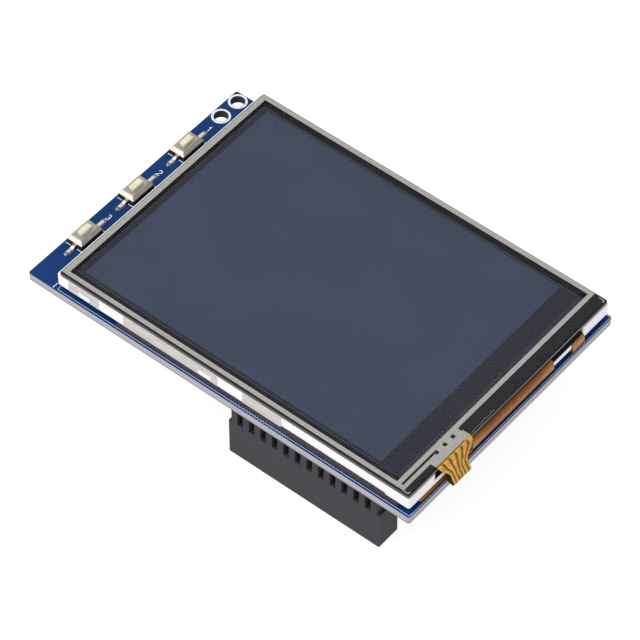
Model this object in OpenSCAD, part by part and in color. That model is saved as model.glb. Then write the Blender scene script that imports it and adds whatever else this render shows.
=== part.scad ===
// Touch display board: a colour LCD with a resistive touch panel on a small circuit board,
// which plugs onto a pin header with the tall double-row socket under one long edge.
// Millimetres. +Z is up, through the screen. +X runs along the board to the flex cable end.
// The origin is the middle of the socket's lower, mating face.

/* [Board] */
// Length of the circuit board
board_l = 84.8; // [78:0.1:100]
// Width of the circuit board
board_w = 56.4; // [52:0.1:66]
// Thickness of the circuit board
board_t = 1.6; // [0.8:0.1:2.4]
// Corner radius of the circuit board
board_r = 0.5; // [0.3:0.1:1.5]
// Diameter of the two screw holes
hole_d = 2.6; // [2:0.1:2.8]
// Distance of the screw holes from the board's edges
hole_edge = 1.9; // [1.8:0.1:2.4]
// Distance between the two screw holes
hole_step = 4.7; // [3.6:0.1:5.2]
// Diameter of the drilled holes for the socket's pins
drill_d = 1.02; // [0.95:0.01:1.2]
// Width of the copper ring around a socket pin
pad_ring = 0.34; // [0.15:0.01:0.4]

/* [Socket] */
// Number of pin pairs in the socket
socket_cols = 13; // [5:1:16]
// Distance between neighbouring pins
pitch = 2.54; // [2.5:0.01:2.6]
// Width of the socket housing
socket_w = 5; // [4.9:0.05:5.4]
// Height of the socket housing under the board
socket_h = 13.3; // [11:0.1:16]
// Distance from the socket to the board's long edge
socket_edge = 1; // [0.6:0.1:2]
// Distance from the socket to the board's cable end
socket_end = 7; // [6:0.1:10]
// Width of the moulded slots between the pin cells
slot_w = 1.25; // [0.8:0.05:1.3]
// Depth of the moulded slots
slot_depth = 1.95; // [0.5:0.05:2]
// Height of the moulded slots
slot_h = 4.85; // [2:0.05:5]
// Side of the square mouth of a pin cell
mouth_w = 1.5; // [1.3:0.05:1.7]
// Depth of the funnel at the mouth of a pin cell
mouth_depth = 0.5; // [0.3:0.05:0.8]
// Width of the contact chamber along the socket
cell_l = 1; // [0.95:0.05:1.1]
// Width of the contact chamber across the socket
cell_w = 1.3; // [1.3:0.05:1.5]
// Depth of the contact chamber from the mating face
cell_depth = 7.8; // [7:0.1:8]
// Side of a square socket pin
pin_w = 0.6; // [0.5:0.01:0.64]
// Length of the pin that stands out of the board
pin_out = 0.4; // [0.2:0.05:0.45]
// Thickness of a contact's spring blades
blade_t = 0.2; // [0.15:0.01:0.25]
// Width of a contact's spring blades
blade_w = 0.8; // [0.6:0.05:0.9]
// Distance from the mating face to the tips of the blades
blade_start = 1.2; // [0.8:0.1:1.6]
// Height of a blade's lead-in above its tip
blade_lead = 1.2; // [0.8:0.1:1.6]
// How far a blade's tip opens outwards
blade_flare = 0.15; // [0.08:0.01:0.2]
// Half of the gap between the blades where they pinch
pinch = 0.16; // [0.1:0.01:0.2]
// Height of a contact's root block
root_h = 1.2; // [0.8:0.1:1.5]

/* [Display] */
// Width of the board's strip for the switches, beside the display
switch_strip = 6.3; // [6:0.1:8]
// Distance from the display to the board's cable end
lcd_end = 0.65; // [0.45:0.05:2]
// Distance from the display to the board's near edge
lcd_edge = 0.75; // [0.5:0.05:1]
// Distance from the display to the board's far edge
lcd_far = 0.45; // [0.4:0.05:2]
// Thickness of the foam tape that carries the display
foam_t = 1.18; // [1.1:0.02:1.6]
// Width of the foam tapes
foam_w = 5.6; // [4:0.1:6]
// Distance from the display's plain end to the foam tapes
foam_start = 13.6; // [10:0.1:15]
// Distance from the display's cable end to the foam tapes
foam_end = 2.5; // [2.4:0.1:4]
// How far the near foam tape stands out past the display's side
foam_out = 0.1; // [0:0.05:0.2]
// How far the far foam tape lies inside the display's side
foam_side = 0.2; // [0.1:0.05:0.5]
// Distance from the display's plain end to the picture area
view_start = 3.5; // [3.4:0.05:4]
// Distance from the display's cable end to the picture area
view_end = 8.75; // [8.5:0.05:11]
// Distance from the display's near side to the picture area
view_side = 3.35; // [2.9:0.05:5]
// Distance from the display's far side to the picture area
view_far = 2.55; // [2.4:0.05:4]
// Clear margin round the picture area
view_margin = 0.6; // [0.4:0.05:0.8]
// Thickness of the frame's outer wall
frame_wall = 0.8; // [0.6:0.05:0.9]
// Corner radius of the frame
frame_r = 0.4; // [0.4:0.05:1.2]
// Distance from the cable opening in the frame's end wall to the display's sides
outlet_side = 6.7; // [6:0.1:7.6]
// Width of the ledge that carries the glass
ledge_w = 1.2; // [1:0.05:1.25]
// Distance from the light guide's pocket to the frame's cable end
pocket_end = 4.6; // [4.2:0.1:5]
// Thickness of the reflector sheet
reflector_t = 0.12; // [0.08:0.01:0.2]
// Thickness of the light guide
guide_t = 0.8; // [0.7:0.05:1]
// Thickness of the diffuser sheet
diffuser_t = 0.1; // [0.08:0.01:0.15]
// Thickness of each of the two prism films
prism_t = 0.06; // [0.05:0.01:0.1]
// Thickness of the black rim tape under the glass
rim_t = 0.06; // [0.05:0.01:0.1]
// Thickness of each polarizer
polarizer_t = 0.14; // [0.1:0.01:0.2]
// Thickness of each LCD glass
glass_t = 0.45; // [0.4:0.01:0.55]
// Width of the rear glass's ledge for the driver chip
driver_ledge = 3.2; // [3:0.1:3.4]
// Length of the driver chip
driver_l = 18; // [14:0.5:20]
// Width of the driver chip
driver_w = 0.8; // [0.7:0.05:1]
// Height of the driver chip
driver_h = 0.3; // [0.2:0.01:0.4]
// How far the front polarizer lies below the frame's rim
sunk = 0.04; // [0.02:0.01:0.1]
// Number of LEDs behind the light guide's edge
led_count = 6; // [4:1:8]
// Length of one LED
led_l = 3; // [2.6:0.1:3.2]
// Depth of the bay for the LEDs
led_bay = 1.2; // [1:0.05:1.4]
// Depth of an LED's lens pocket
led_lens = 0.3; // [0.2:0.05:0.4]
// Wall round an LED's lens pocket
led_rim = 0.15; // [0.1:0.01:0.2]
// How far the LEDs' strip laps over the light guide
strip_lap = 0.9; // [0.6:0.05:1.2]
// Thickness of the pale tapes on the frame's near side
tape_t = 0.06; // [0.04:0.01:0.1]

/* [Touch panel] */
// Distance from the touch panel to the display's plain end
touch_start = 0.6; // [0.3:0.05:1]
// Distance from the touch panel to the display's cable end
touch_end = 0.25; // [0.05:0.05:0.3]
// Distance from the touch panel to the display's sides
touch_side = 0.12; // [0.05:0.01:0.4]
// Corner radius of the touch panel
touch_r = 0.3; // [0.2:0.05:1]
// Thickness of the gasket under the touch panel
gasket_t = 0.1; // [0.08:0.01:0.2]
// Thickness of the touch panel's glass
touch_glass_t = 0.5; // [0.4:0.05:0.7]
// Thickness of the layer of spacer tape and silver print
spacer_t = 0.1; // [0.1:0.01:0.14]
// Thickness of the touch panel's top film
film_t = 0.18; // [0.12:0.01:0.25]
// Width of the ring of silver print
bar_w = 0.85; // [0.5:0.05:0.95]
// Width of the silver ring's bar at the panel's plain end
bar_start_w = 1.1; // [0.5:0.05:1.2]
// Width of the second silver bar
bar2_w = 0.75; // [0.4:0.05:0.8]
// Slit between the ring and the second bar
bar_gap = 0.45; // [0.15:0.05:0.5]
// Distance from the panel's plain end and far side to the silver ring
bar_edge = 0.1; // [0.05:0.05:0.3]
// Distance from the panel's near side to the silver ring
bar_near = 0.45; // [0.3:0.05:0.6]
// Distance from the panel's cable end to the silver ring
bar_end = 2.65; // [2.4:0.05:3]
// Side of the small windows in the silver patch
window_w = 0.75; // [0.3:0.05:0.8]
// Distance between the small windows
window_step = 2.2; // [1.8:0.05:2.3]
// Distance from the panel's edges to its registration marks
mark_edge = 0.35; // [0.2:0.05:0.5]
// Length of a registration mark in the panel's corners
mark_l = 1.2; // [0.8:0.1:1.4]
// Width of a registration mark's line
mark_w = 0.16; // [0.1:0.01:0.2]

/* [Flex cables] */
// Thickness of the LCD's flex cable
lcd_flex_t = 0.12; // [0.08:0.01:0.14]
// Width of the LCD's flex cable
lcd_flex_w = 22.5; // [20:0.1:23]
// How far the LCD's flex cable lies off the display's middle line
lcd_flex_shift = 0.3; // [0:0.05:1]
// Length of the LCD flex's bond on its glass
lcd_bond = 1.1; // [0.9:0.05:1.2]
// Bend radius of the LCD's flex cable
lcd_flex_r = 0.7; // [0.6:0.05:0.8]
// Height of the LCD's flex cable above the board, under the display
lcd_flex_lift = 0.7; // [0.55:0.05:0.9]
// How far the LCD's flex cable runs back under the display
lcd_flex_back = 8; // [6:0.5:12]
// Width of the LCD flex's wing, which carries small parts
wing_w = 1.65; // [1:0.05:1.7]
// Distance from the wing to the display's near side
wing_start = 2.8; // [2:0.1:4]
// Thickness of the thin flex cables
flex_t = 0.1; // [0.08:0.01:0.1]
// Height of the thin flex cables above the board, under the display
tail_lift = 0.4; // [0.25:0.05:0.5]
// Run of a flex cable's slope down to the board
foot_run = 2.2; // [1.5:0.1:3]
// Length of a flex cable's soldered foot
foot_l = 2.2; // [1.5:0.1:3]
// Width of the backlight's flex tail
led_tail_w = 3.3; // [2.5:0.1:3.4]
// Distance from the backlight's tail to the side of the cable opening
led_tail_side = 0.6; // [0.5:0.05:1]
// Bend radius of the backlight's flex tail
led_tail_r = 0.3; // [0.25:0.05:0.4]
// How far the backlight's tail runs back under the display
led_tail_back = 5; // [3:0.5:8]
// Distance from the panel's near side to the touch tail
tail_start = 7.65; // [7:0.05:9]
// Width of the touch tail at the panel
tail_root_w = 9.1; // [8:0.1:9.4]
// Width of the touch tail at its fold
tail_fold_w = 4.6; // [4:0.1:5]
// How far the touch tail's near side steps in at its fold
tail_step = 1.6; // [1:0.05:2]
// How far the touch tail stands out past the panel
tail_out = 2.5; // [2.2:0.05:2.6]
// Radius of the touch tail's two bends
tail_r = 0.45; // [0.35:0.05:0.5]
// How far the touch tail's fold hangs below the board's top
tail_sag = 0.2; // [0.1:0.05:0.3]
// Length of the touch tail's bond between the panel's glass and film
tail_bond = 0.3; // [0.3:0.05:1]
// How far the touch tail runs back under the display
tail_back = 2.4; // [2:0.1:4]

/* [Switches] */
// Length of a switch body
switch_l = 5.6; // [5.4:0.1:6]
// Width of a switch body
switch_w = 3.5; // [3.4:0.1:3.6]
// Height of a switch body
switch_h = 1.8; // [1.8:0.05:2.2]
// Distance from the switches' middle to the board's plain end
switch_edge = 2.3; // [2.1:0.1:2.6]
// Distance from the first switch to the board's near edge
switch_start = 12.4; // [8:0.1:13]
// Distance between neighbouring switches
switch_step = 13.7; // [12.6:0.1:14]
// Thickness of a switch's metal shell
shell_t = 0.2; // [0.15:0.01:0.25]
// Height of the narrow clips at a shell's ends
clip_h = 1.25; // [1:0.05:1.3]
// Width of a shell's clip
clip_w = 1; // [0.8:0.05:1.2]
// Height of a shell's sloped sides
shell_drop = 0.65; // [0.5:0.05:0.7]
// How far a shell's sloped sides step in
shell_slope = 0.6; // [0.4:0.05:0.6]
// Height of a key above the switch body
key_rise = 0.7; // [0.5:0.05:1.2]
// Length of a key's top
key_l = 2.7; // [2.4:0.1:3]
// Width of a key's top
key_w = 1.2; // [1:0.1:1.3]
// Corner radius of a key
key_r = 0.25; // [0.15:0.05:0.4]
// Radius along a key's top edges
key_edge = 0.2; // [0.1:0.05:0.25]
// Travel of a key
key_travel = 0.25; // [0.15:0.01:0.3]
// Length of the well under a key
well_l = 3.6; // [3.5:0.1:4]
// Width of the well under a key
well_w = 2.3; // [2.1:0.1:2.4]
// Thickness of the floor under a key's well
well_floor = 0.5; // [0.45:0.05:0.55]
// Thickness of a key's flange
flange_t = 0.3; // [0.2:0.01:0.32]
// Diameter of a key's stem
stem_d = 0.9; // [0.6:0.05:1]
// Radius of a snap dome
dome_r = 1.05; // [0.9:0.01:1.1]
// Thickness of a snap dome
dome_t = 0.05; // [0.04:0.01:0.06]
// How much higher a snap dome is than its travel
dome_spare = 0.03; // [0.01:0.01:0.05]
// Width of a switch's lead
lead_w = 0.6; // [0.5:0.05:0.7]
// Thickness of a switch's lead
lead_t = 0.2; // [0.15:0.01:0.22]
// Height of a lead's underside in the switch's base
lead_z = 0.22; // [0.2:0.01:0.24]
// Length of a lead inside the switch's base
lead_in = 0.8; // [0.6:0.05:0.9]
// Length of a lead outside the switch's base
lead_out = 1.9; // [1.4:0.05:2]
// Thickness of a tinned pad
pad_t = 0.06; // [0.04:0.01:0.1]
// Length of a tinned pad
pad_l = 2.4; // [2.2:0.1:3]
// Width of a tinned pad
pad_w = 1; // [0.95:0.05:1.3]
// Distance from a tinned pad to the switch's base
pad_gap = 0.25; // [0.1:0.05:0.4]
// Radius of the mound of solder on a pad
mound_r = 0.45; // [0.35:0.05:0.45]
// Height of the mound of solder on a pad
mound_h = 0.26; // [0.15:0.01:0.3]

/* [Underside parts] */
// Length of a logic chip
logic_l = 9.9; // [9.6:0.1:10.2]
// Width of a logic chip's body
logic_w = 3.9; // [3.6:0.1:4.1]
// Height of a logic chip
logic_h = 1.5; // [1.3:0.05:1.7]
// Distance between a logic chip's leads
logic_pitch = 1.27; // [1.2:0.01:1.3]
// Distance from the board's plain end to the first logic chip
logic_start = 22; // [20:0.5:24]
// Distance from the board's near edge to the row of logic chips
logic_row = 30; // [28:0.5:32]
// Distance between neighbouring logic chips
logic_step = 13; // [12:0.5:14]
// Length of the touch controller
controller_l = 5; // [4.8:0.1:5.2]
// Width of the touch controller's body
controller_w = 4.4; // [4.2:0.1:4.6]
// Height of the touch controller
controller_h = 1.1; // [1:0.05:1.2]
// Distance between the touch controller's leads
controller_pitch = 0.65; // [0.6:0.01:0.66]
// Distance from the board's cable end to the touch controller
controller_end = 17; // [15:0.5:18]
// Distance from the board's near edge to the touch controller
controller_row = 16; // [14:0.5:18]
// Length of the regulator and the transistor
sot_l = 2.9; // [2.8:0.05:3]
// Width of the regulator's and the transistor's body
sot_w = 1.5; // [1.3:0.05:1.7]
// Height of the regulator and the transistor
sot_h = 1.1; // [1:0.05:1.3]
// Distance between the regulator's leads
sot_pitch = 0.95; // [0.9:0.01:1]
// Distance from the board's plain end to the regulator
regulator_start = 30; // [28:0.5:32]
// Distance from the board's near edge to the regulator
regulator_row = 12; // [11:0.5:13]
// Distance from the board's cable end to the transistor
transistor_end = 23; // [20:0.5:25]
// Distance from the board's near edge to the transistor
transistor_row = 40; // [38:0.5:42]
// Gap between the board and a chip's moulded body
chip_lift = 0.1; // [0.05:0.01:0.15]
// How far a moulded body's sides slope
mould_slope = 0.12; // [0.05:0.01:0.2]
// Diameter of the mark by a chip's first pin
dot_d = 0.7; // [0.5:0.05:0.9]
// Depth of the mark by a chip's first pin
dot_depth = 0.08; // [0.05:0.01:0.12]
// Thickness of a chip's leads
gull_t = 0.15; // [0.1:0.01:0.2]
// Width of a chip's leads
gull_w = 0.4; // [0.2:0.01:0.45]
// Width of the touch controller's leads
fine_w = 0.24; // [0.18:0.01:0.28]
// How far a chip's leads stand out
gull_l = 1; // [0.8:0.05:1.2]
// How far the regulator's and the transistor's leads stand out
sot_out = 0.6; // [0.5:0.05:0.8]
// Length of a chip resistor or capacitor
chip_l = 1.6; // [1.4:0.05:1.8]
// Width of a chip resistor or capacitor
chip_w = 0.8; // [0.7:0.05:1]
// Length of its metal end caps
cap_l = 0.3; // [0.2:0.05:0.4]
// Height of a chip resistor
resistor_h = 0.45; // [0.35:0.05:0.6]
// Height of a chip capacitor
capacitor_h = 0.8; // [0.6:0.05:1]
// Distance between neighbouring chip resistors
chip_apart = 3; // [2.5:0.1:3.5]
// Distance from a chip's leads to the small parts beside it
chip_gap = 2.4; // [2:0.1:3]

/* [Hidden] */
$fn = 48;

SWITCHES = [1, 2, 3];
FIT = 0.1;      // clearance round a piece that drops into a pocket
CLOSE = 0.05;   // clearance of a close fit
HAIR = 0.02;    // gap between pieces that all but touch
CUT = 1;        // how far a cutting shape runs past the surface that it cuts

// The board's box, from the socket's place on it
socket_l = socket_cols * pitch;
board_x1 = socket_l / 2 + socket_end;
board_x0 = board_x1 - board_l;
board_y0 = -socket_w / 2 - socket_edge;
board_y1 = board_y0 + board_w;
board_z0 = socket_h;
board_z1 = socket_h + board_t;

// The display's box and the levels of its layers
lcd_x0 = board_x0 + switch_strip;
lcd_x1 = board_x1 - lcd_end;
lcd_y0 = board_y0 + lcd_edge;
lcd_y1 = board_y1 - lcd_far;
lcd_cy = (lcd_y0 + lcd_y1) / 2;
lcd_z0 = board_z1 + foam_t;
guide_z = lcd_z0 + reflector_t;
diffuser_z = guide_z + guide_t;
prism_z = diffuser_z + diffuser_t;
rim_z = prism_z + 2 * prism_t;
rear_polarizer_z = rim_z + rim_t;
rear_glass_z = rear_polarizer_z + polarizer_t;
front_glass_z = rear_glass_z + glass_t;
front_polarizer_z = front_glass_z + glass_t;
lcd_z1 = front_polarizer_z + polarizer_t + sunk;

// The picture area, the glass round it and the outline of the front polarizer
view_x0 = lcd_x0 + view_start;
view_x1 = lcd_x1 - view_end;
view_y0 = lcd_y0 + view_side;
view_y1 = lcd_y1 - view_far;
glass_x0 = lcd_x0 + frame_wall + FIT;
glass_x1 = lcd_x1 - frame_wall - FIT;
glass_y0 = lcd_y0 + frame_wall + FIT;
glass_y1 = lcd_y1 - frame_wall - FIT;
ledge_x = glass_x1 - driver_ledge;
polarizer_x0 = view_x0 - 2 * view_margin;
polarizer_x1 = ledge_x - view_margin;
polarizer_y0 = view_y0 - view_margin;
polarizer_y1 = view_y1 + view_margin;

// The frame's lower pocket holds the light guide, and the LEDs at its cable end
pocket_x0 = lcd_x0 + frame_wall + ledge_w;
pocket_x1 = lcd_x1 - pocket_end;
pocket_y0 = lcd_y0 + frame_wall + ledge_w;
pocket_y1 = lcd_y1 - frame_wall - ledge_w;
guide_x1 = pocket_x1 - led_bay;
film_x1 = guide_x1 - strip_lap - FIT;

// The touch panel's box and levels
touch_x0 = lcd_x0 + touch_start;
touch_x1 = lcd_x1 - touch_end;
touch_y0 = lcd_y0 + touch_side;
touch_y1 = lcd_y1 - touch_side;
touch_glass_z = lcd_z1 + gasket_t;
spacer_z = touch_glass_z + touch_glass_t;
film_z = spacer_z + spacer_t;

// The ring of silver print, and the touch tail's bond beside it
ring_x0 = touch_x0 + bar_edge;
ring_x1 = touch_x1 - bar_end;
ring_y0 = touch_y0 + bar_near;
ring_y1 = touch_y1 - bar_edge;
bond_y0 = touch_y0 + tail_start;
bond_y1 = bond_y0 + tail_root_w;

// Heights of the flex cables' middle lines under the display
lcd_flex_z = board_z1 + lcd_flex_lift;
tail_z = board_z1 + tail_lift;

// Levels in a switch, from the board's top face
rim_low = switch_h - shell_drop;
key_flange_z = switch_h - shell_t - flange_t;
dome_rise = key_travel + dome_spare;

// Outline helpers

module rect(x0, x1, y0, y1) {
    translate([x0, y0]) square([x1 - x0, y1 - y0]);
}

module round_rect(x0, x1, y0, y1, r) {
    rect(x0 + r, x1 - r, y0, y1);
    rect(x0, x1, y0 + r, y1 - r);
    for (x = [x0 + r, x1 - r], y = [y0 + r, y1 - r]) translate([x, y]) circle(r);
}

module layer(z, t) {
    translate([0, 0, z]) linear_extrude(t) children();
}

// Extrudes an outline drawn in side view: along Y from [x, z], or along X from [y, z]
module along_y(reach) {
    rotate([90, 0, 0]) translate([0, 0, -reach]) linear_extrude(2 * reach) children();
}

module along_x(reach) {
    rotate([90, 0, 90]) translate([0, 0, -reach]) linear_extrude(2 * reach) children();
}

// A flex cable: a strip of thickness t whose middle line is path, a list of [x, z] in side view.
// Its edges are y0[i] and y1[i] at each point.
function bend(cx, cz, r, a0, a1, n) = [for (i = [0:n]) let (a = a0 + (a1 - a0) * i / n)
    [cx + r * cos(a), cz + r * sin(a)]];
function unit(v) = v / norm(v);
function side_of(path, i) = let (last = len(path) - 1,
    d = unit(path[min(i + 1, last)] - path[max(i - 1, 0)])) [-d[1], d[0]];
function strip_points(path, y0, y1, t) = [for (i = [0:len(path) - 1])
    let (s = side_of(path, i) * t / 2, a = path[i] + s, b = path[i] - s)
    each [[a[0], y0[i], a[1]], [a[0], y1[i], a[1]], [b[0], y1[i], b[1]], [b[0], y0[i], b[1]]]];

module strip(path, y0, y1, t) {
    last = 4 * (len(path) - 1);
    sides = [for (i = [0:len(path) - 2], k = [0:3]) let (a = 4 * i + k, b = 4 * i + (k + 1) % 4)
        each [[a, b, b + 4], [a, b + 4, a + 4]]];
    ends = [[3, 2, 1, 0], [last, last + 1, last + 2, last + 3]];
    polyhedron(strip_points(path, y0, y1, t), concat(sides, ends));
}

function same(value, path) = [for (p = path) value];

// End of a flex cable: from x at height z it slopes down to the board and lies on its pads
function foot(x, z, t) = let (end = x - foot_run, low = board_z1 + t / 2)
    [[x, z], [end, low], [end - foot_l, low]];

// Circuit board

module socket_grid() {
    for (i = [0:socket_cols - 1], side = [-1, 1])
        translate([(i + 0.5) * pitch - socket_l / 2, side * pitch / 2]) children();
}

module pcb() {
    color("#1c3f80") difference() {
        layer(board_z0, board_t) round_rect(board_x0, board_x1, board_y0, board_y1, board_r);
        for (k = [0, 1])
            translate([board_x0 + hole_edge, board_y1 - hole_edge - k * hole_step, board_z0 - CUT])
                cylinder(d = hole_d, h = board_t + 2 * CUT);
        socket_grid() translate([0, 0, board_z0 - CUT]) cylinder(d = drill_d, h = board_t + 2 * CUT);
    }
}

// Socket under the board

module header_housing() {
    hole = pin_w + 2 * CLOSE;
    color("#3f3e42") difference() {
        translate([-socket_l / 2, -socket_w / 2, 0]) cube([socket_l, socket_w, socket_h]);
        for (i = [0:socket_cols], side = [0, 1]) mirror([0, side, 0])
            translate([i * pitch - (socket_l + slot_w) / 2, -socket_w / 2 - CUT, socket_h - slot_h])
                cube([slot_w, slot_depth + CUT, slot_h + CUT]);
        socket_grid() {
            translate([-cell_l / 2, -cell_w / 2, -CUT]) cube([cell_l, cell_w, cell_depth + CUT]);
            translate([-hole / 2, -hole / 2, 0]) cube([hole, hole, socket_h + CUT]);
            mouth();
        }
    }
}

// Sloping lead-in of one pin cell, as two crossed wedges
module mouth() {
    low = mouth_w / 2;
    intersection() {
        along_y(mouth_w)
            polygon([[-low, 0], [low, 0], [cell_l / 2, mouth_depth], [-cell_l / 2, mouth_depth]]);
        along_x(mouth_w)
            polygon([[-low, 0], [low, 0], [cell_w / 2, mouth_depth], [-cell_w / 2, mouth_depth]]);
    }
}

// One stamped contact: two spring blades that pinch at the mouth, a root block and a square pin
module contact() {
    root_z = cell_depth - root_h;
    pinch_z = blade_start + blade_lead;
    outer = cell_w / 2 - CLOSE;
    for (side = [0, 1]) mirror([0, side, 0]) along_x(blade_w / 2)
        polygon([[outer, root_z], [outer, root_z - root_h], [pinch + blade_t, pinch_z],
            [pinch + blade_t + blade_flare, blade_start], [pinch + blade_flare, blade_start],
            [pinch, pinch_z], [outer - blade_t, root_z - root_h], [outer - blade_t, root_z]]);
    translate([-blade_w / 2, -outer, root_z]) cube([blade_w, 2 * outer, root_h]);
    translate([-pin_w / 2, -pin_w / 2, root_z]) cube([pin_w, pin_w, board_z1 + pin_out - root_z]);
}

module header_contacts() {
    color("#c9b26a") socket_grid() contact();
}

// A cone of solder round each pin, on its copper ring
module header_solder() {
    ring = drill_d / 2 + pad_ring;
    color("#c8c8c6") socket_grid() translate([0, 0, board_z1]) difference() {
        cylinder(r1 = ring, r2 = pin_w * 0.75, h = pin_out);
        translate([-pin_w / 2, -pin_w / 2, -CUT]) cube([pin_w, pin_w, pin_out + 2 * CUT]);
    }
}

// Foam tapes between the board and the display

foam_x0 = lcd_x0 + foam_start;
foam_x1 = lcd_x1 - foam_end;

// The near tape bridges the socket's soldered pins, which lie in a groove in it
module foam_tape_front() {
    reach = pitch / 2 + drill_d / 2 + pad_ring + FIT;
    color("#35332f") difference() {
        layer(board_z1, foam_t) rect(foam_x0, foam_x1, lcd_y0 - foam_out, lcd_y0 - foam_out + foam_w);
        layer(board_z1 - CUT, CUT + pin_out + FIT) rect(-socket_l / 2, socket_l / 2, -reach, reach);
    }
}

module foam_tape_rear() {
    color("#35332f") layer(board_z1, foam_t)
        rect(foam_x0, foam_x1, lcd_y1 - foam_side - foam_w, lcd_y1 - foam_side);
}

// Backlight

// Half of the ledge, by which the reflector and its rebate reach past the light guide's pocket
lap = ledge_w / 2;

// Moulded frame: outer wall, a ledge for the glass, a pocket for the light guide, a rebate for the
// reflector below, and a low end wall between two round posts where the cables leave
module backlight_frame() {
    gap_y0 = lcd_y0 + outlet_side;
    gap_y1 = lcd_y1 - outlet_side;
    color("#f4f1f2") {
        difference() {
            layer(lcd_z0, lcd_z1 - lcd_z0) round_rect(lcd_x0, lcd_x1, lcd_y0, lcd_y1, frame_r);
            layer(lcd_z0 - CUT, CUT + reflector_t)
                rect(pocket_x0 - lap, pocket_x1 + lap, pocket_y0 - lap, pocket_y1 + lap);
            layer(lcd_z0, rim_z - lcd_z0 + CUT) rect(pocket_x0, pocket_x1, pocket_y0, pocket_y1);
            layer(rim_z, lcd_z1 - rim_z + CUT)
                rect(lcd_x0 + frame_wall, lcd_x1 - frame_wall, lcd_y0 + frame_wall, lcd_y1 - frame_wall);
            layer(diffuser_z, lcd_z1 - diffuser_z + CUT) rect(pocket_x1 - CUT, lcd_x1 + CUT, gap_y0, gap_y1);
        }
        layer(diffuser_z, lcd_z1 - diffuser_z) for (y = [gap_y0, gap_y1])
            translate([lcd_x1 - frame_wall / 2, y]) circle(frame_wall / 2);
    }
}

module reflector() {
    color("#e6e8ea") layer(lcd_z0, reflector_t)
        rect(pocket_x0 - lap + FIT, pocket_x1 + lap - FIT, pocket_y0 - lap + FIT, pocket_y1 + lap - FIT);
}

module light_guide() {
    color("#dfe8ee") layer(guide_z, guide_t)
        rect(pocket_x0 + FIT, guide_x1, pocket_y0 + FIT, pocket_y1 - FIT);
}

module film_sheet(z, t) {
    layer(z, t) rect(pocket_x0 + FIT, film_x1, pocket_y0 + FIT, pocket_y1 - FIT);
}

module diffuser() {
    color("#f7f7f5") film_sheet(diffuser_z, diffuser_t);
}

module prism_films() {
    color("#e2e6e8") for (k = [0, 1]) film_sheet(prism_z + k * prism_t, prism_t);
}

// Side-view LEDs in a row against the light guide's edge, hung from the strip
module leds() {
    step = (pocket_y1 - pocket_y0 - 2 * FIT) / led_count;
    color("#e9dca0") for (i = [0:led_count - 1])
        translate([guide_x1, pocket_y0 + FIT + (i + 0.5) * step - led_l / 2, guide_z]) difference() {
            cube([led_bay - FIT, led_l, guide_t]);
            translate([-CUT, led_rim, led_rim])
                cube([CUT + led_lens, led_l - 2 * led_rim, guide_t - 2 * led_rim]);
        }
}

// Strip over the LEDs, and its tail out over the low end wall, folded under to the board
module backlight_flex() {
    z = diffuser_z + flex_t / 2;
    tail_y1 = lcd_y1 - outlet_side - led_tail_side;
    tail_y0 = tail_y1 - led_tail_w;
    x = lcd_x1 + flex_t / 2;
    path = concat([[pocket_x1 - FIT - flex_t, z]], bend(x, z - led_tail_r, led_tail_r, 90, 0, 6),
        bend(x, tail_z + led_tail_r, led_tail_r, 0, -90, 6), foot(lcd_x1 - led_tail_back, tail_z, flex_t));
    color("#b4702c") {
        layer(diffuser_z, flex_t)
            rect(guide_x1 - strip_lap, pocket_x1 - FIT, pocket_y0 + lap, pocket_y1 - lap);
        strip(path, same(tail_y0, path), same(tail_y1, path), flex_t);
    }
}

// LCD cell

module rim_tape() {
    color("#1b1b1d") layer(rim_z, rim_t) difference() {
        rect(glass_x0, film_x1, glass_y0, glass_y1);
        rect(polarizer_x0, view_x1 + view_margin, polarizer_y0, polarizer_y1);
    }
}

module rear_polarizer() {
    color("#3b4149") layer(rear_polarizer_z, polarizer_t)
        rect(glass_x0 + view_margin, film_x1, glass_y0 + view_margin, glass_y1 - view_margin);
}

module rear_glass() {
    color("#8c98a0") layer(rear_glass_z, glass_t) rect(glass_x0, glass_x1, glass_y0, glass_y1);
}

module front_glass() {
    color("#8c98a0") layer(front_glass_z, glass_t) rect(glass_x0, ledge_x, glass_y0, glass_y1);
}

module front_polarizer() {
    color("#454f5e") layer(front_polarizer_z, polarizer_t)
        rect(polarizer_x0, polarizer_x1, polarizer_y0, polarizer_y1);
}

// Driver chip, bonded face down on the rear glass's ledge beside the flex
module driver_chip() {
    color("#2a2b2e") translate([glass_x1 - lcd_bond - driver_w - FIT, lcd_cy - driver_l / 2, front_glass_z])
        cube([driver_w, driver_l, driver_h]);
}

// Broad flex from the rear glass over the low end wall and back under the frame to the board,
// and a wing of it towards the near side
module lcd_flex() {
    z = front_glass_z + lcd_flex_t / 2;
    y1 = lcd_cy + lcd_flex_shift + lcd_flex_w / 2;
    y0 = y1 - lcd_flex_w;
    r = lcd_flex_r;
    x = lcd_x1 - r / 2;
    path = concat([[glass_x1 - lcd_bond, z]], bend(x, z - r, r, 90, 0, 8),
        bend(x, lcd_flex_z + r, r, 0, -90, 8), foot(lcd_x1 - lcd_flex_back, lcd_flex_z, lcd_flex_t));
    color("#a8642a") {
        strip(path, same(y0, path), same(y1, path), lcd_flex_t);
        layer(lcd_flex_z - lcd_flex_t / 2, lcd_flex_t) rect(x - wing_w, lcd_x1 + 3 * FIT, lcd_y0 + wing_start, y0 + FIT);
    }
}

// Strips of pale tape that hold the backlight's films to the frame's near side: start and end
// of each strip as shares of the frame's length, and the share of its height that it covers
TAPES = [[0.034, 0.061, 1], [0.061, 0.096, 0.5], [0.096, 0.123, 1], [0.195, 0.411, 1],
    [0.412, 0.447, 0.5], [0.447, 0.466, 1], [0.538, 0.647, 1]];

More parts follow.
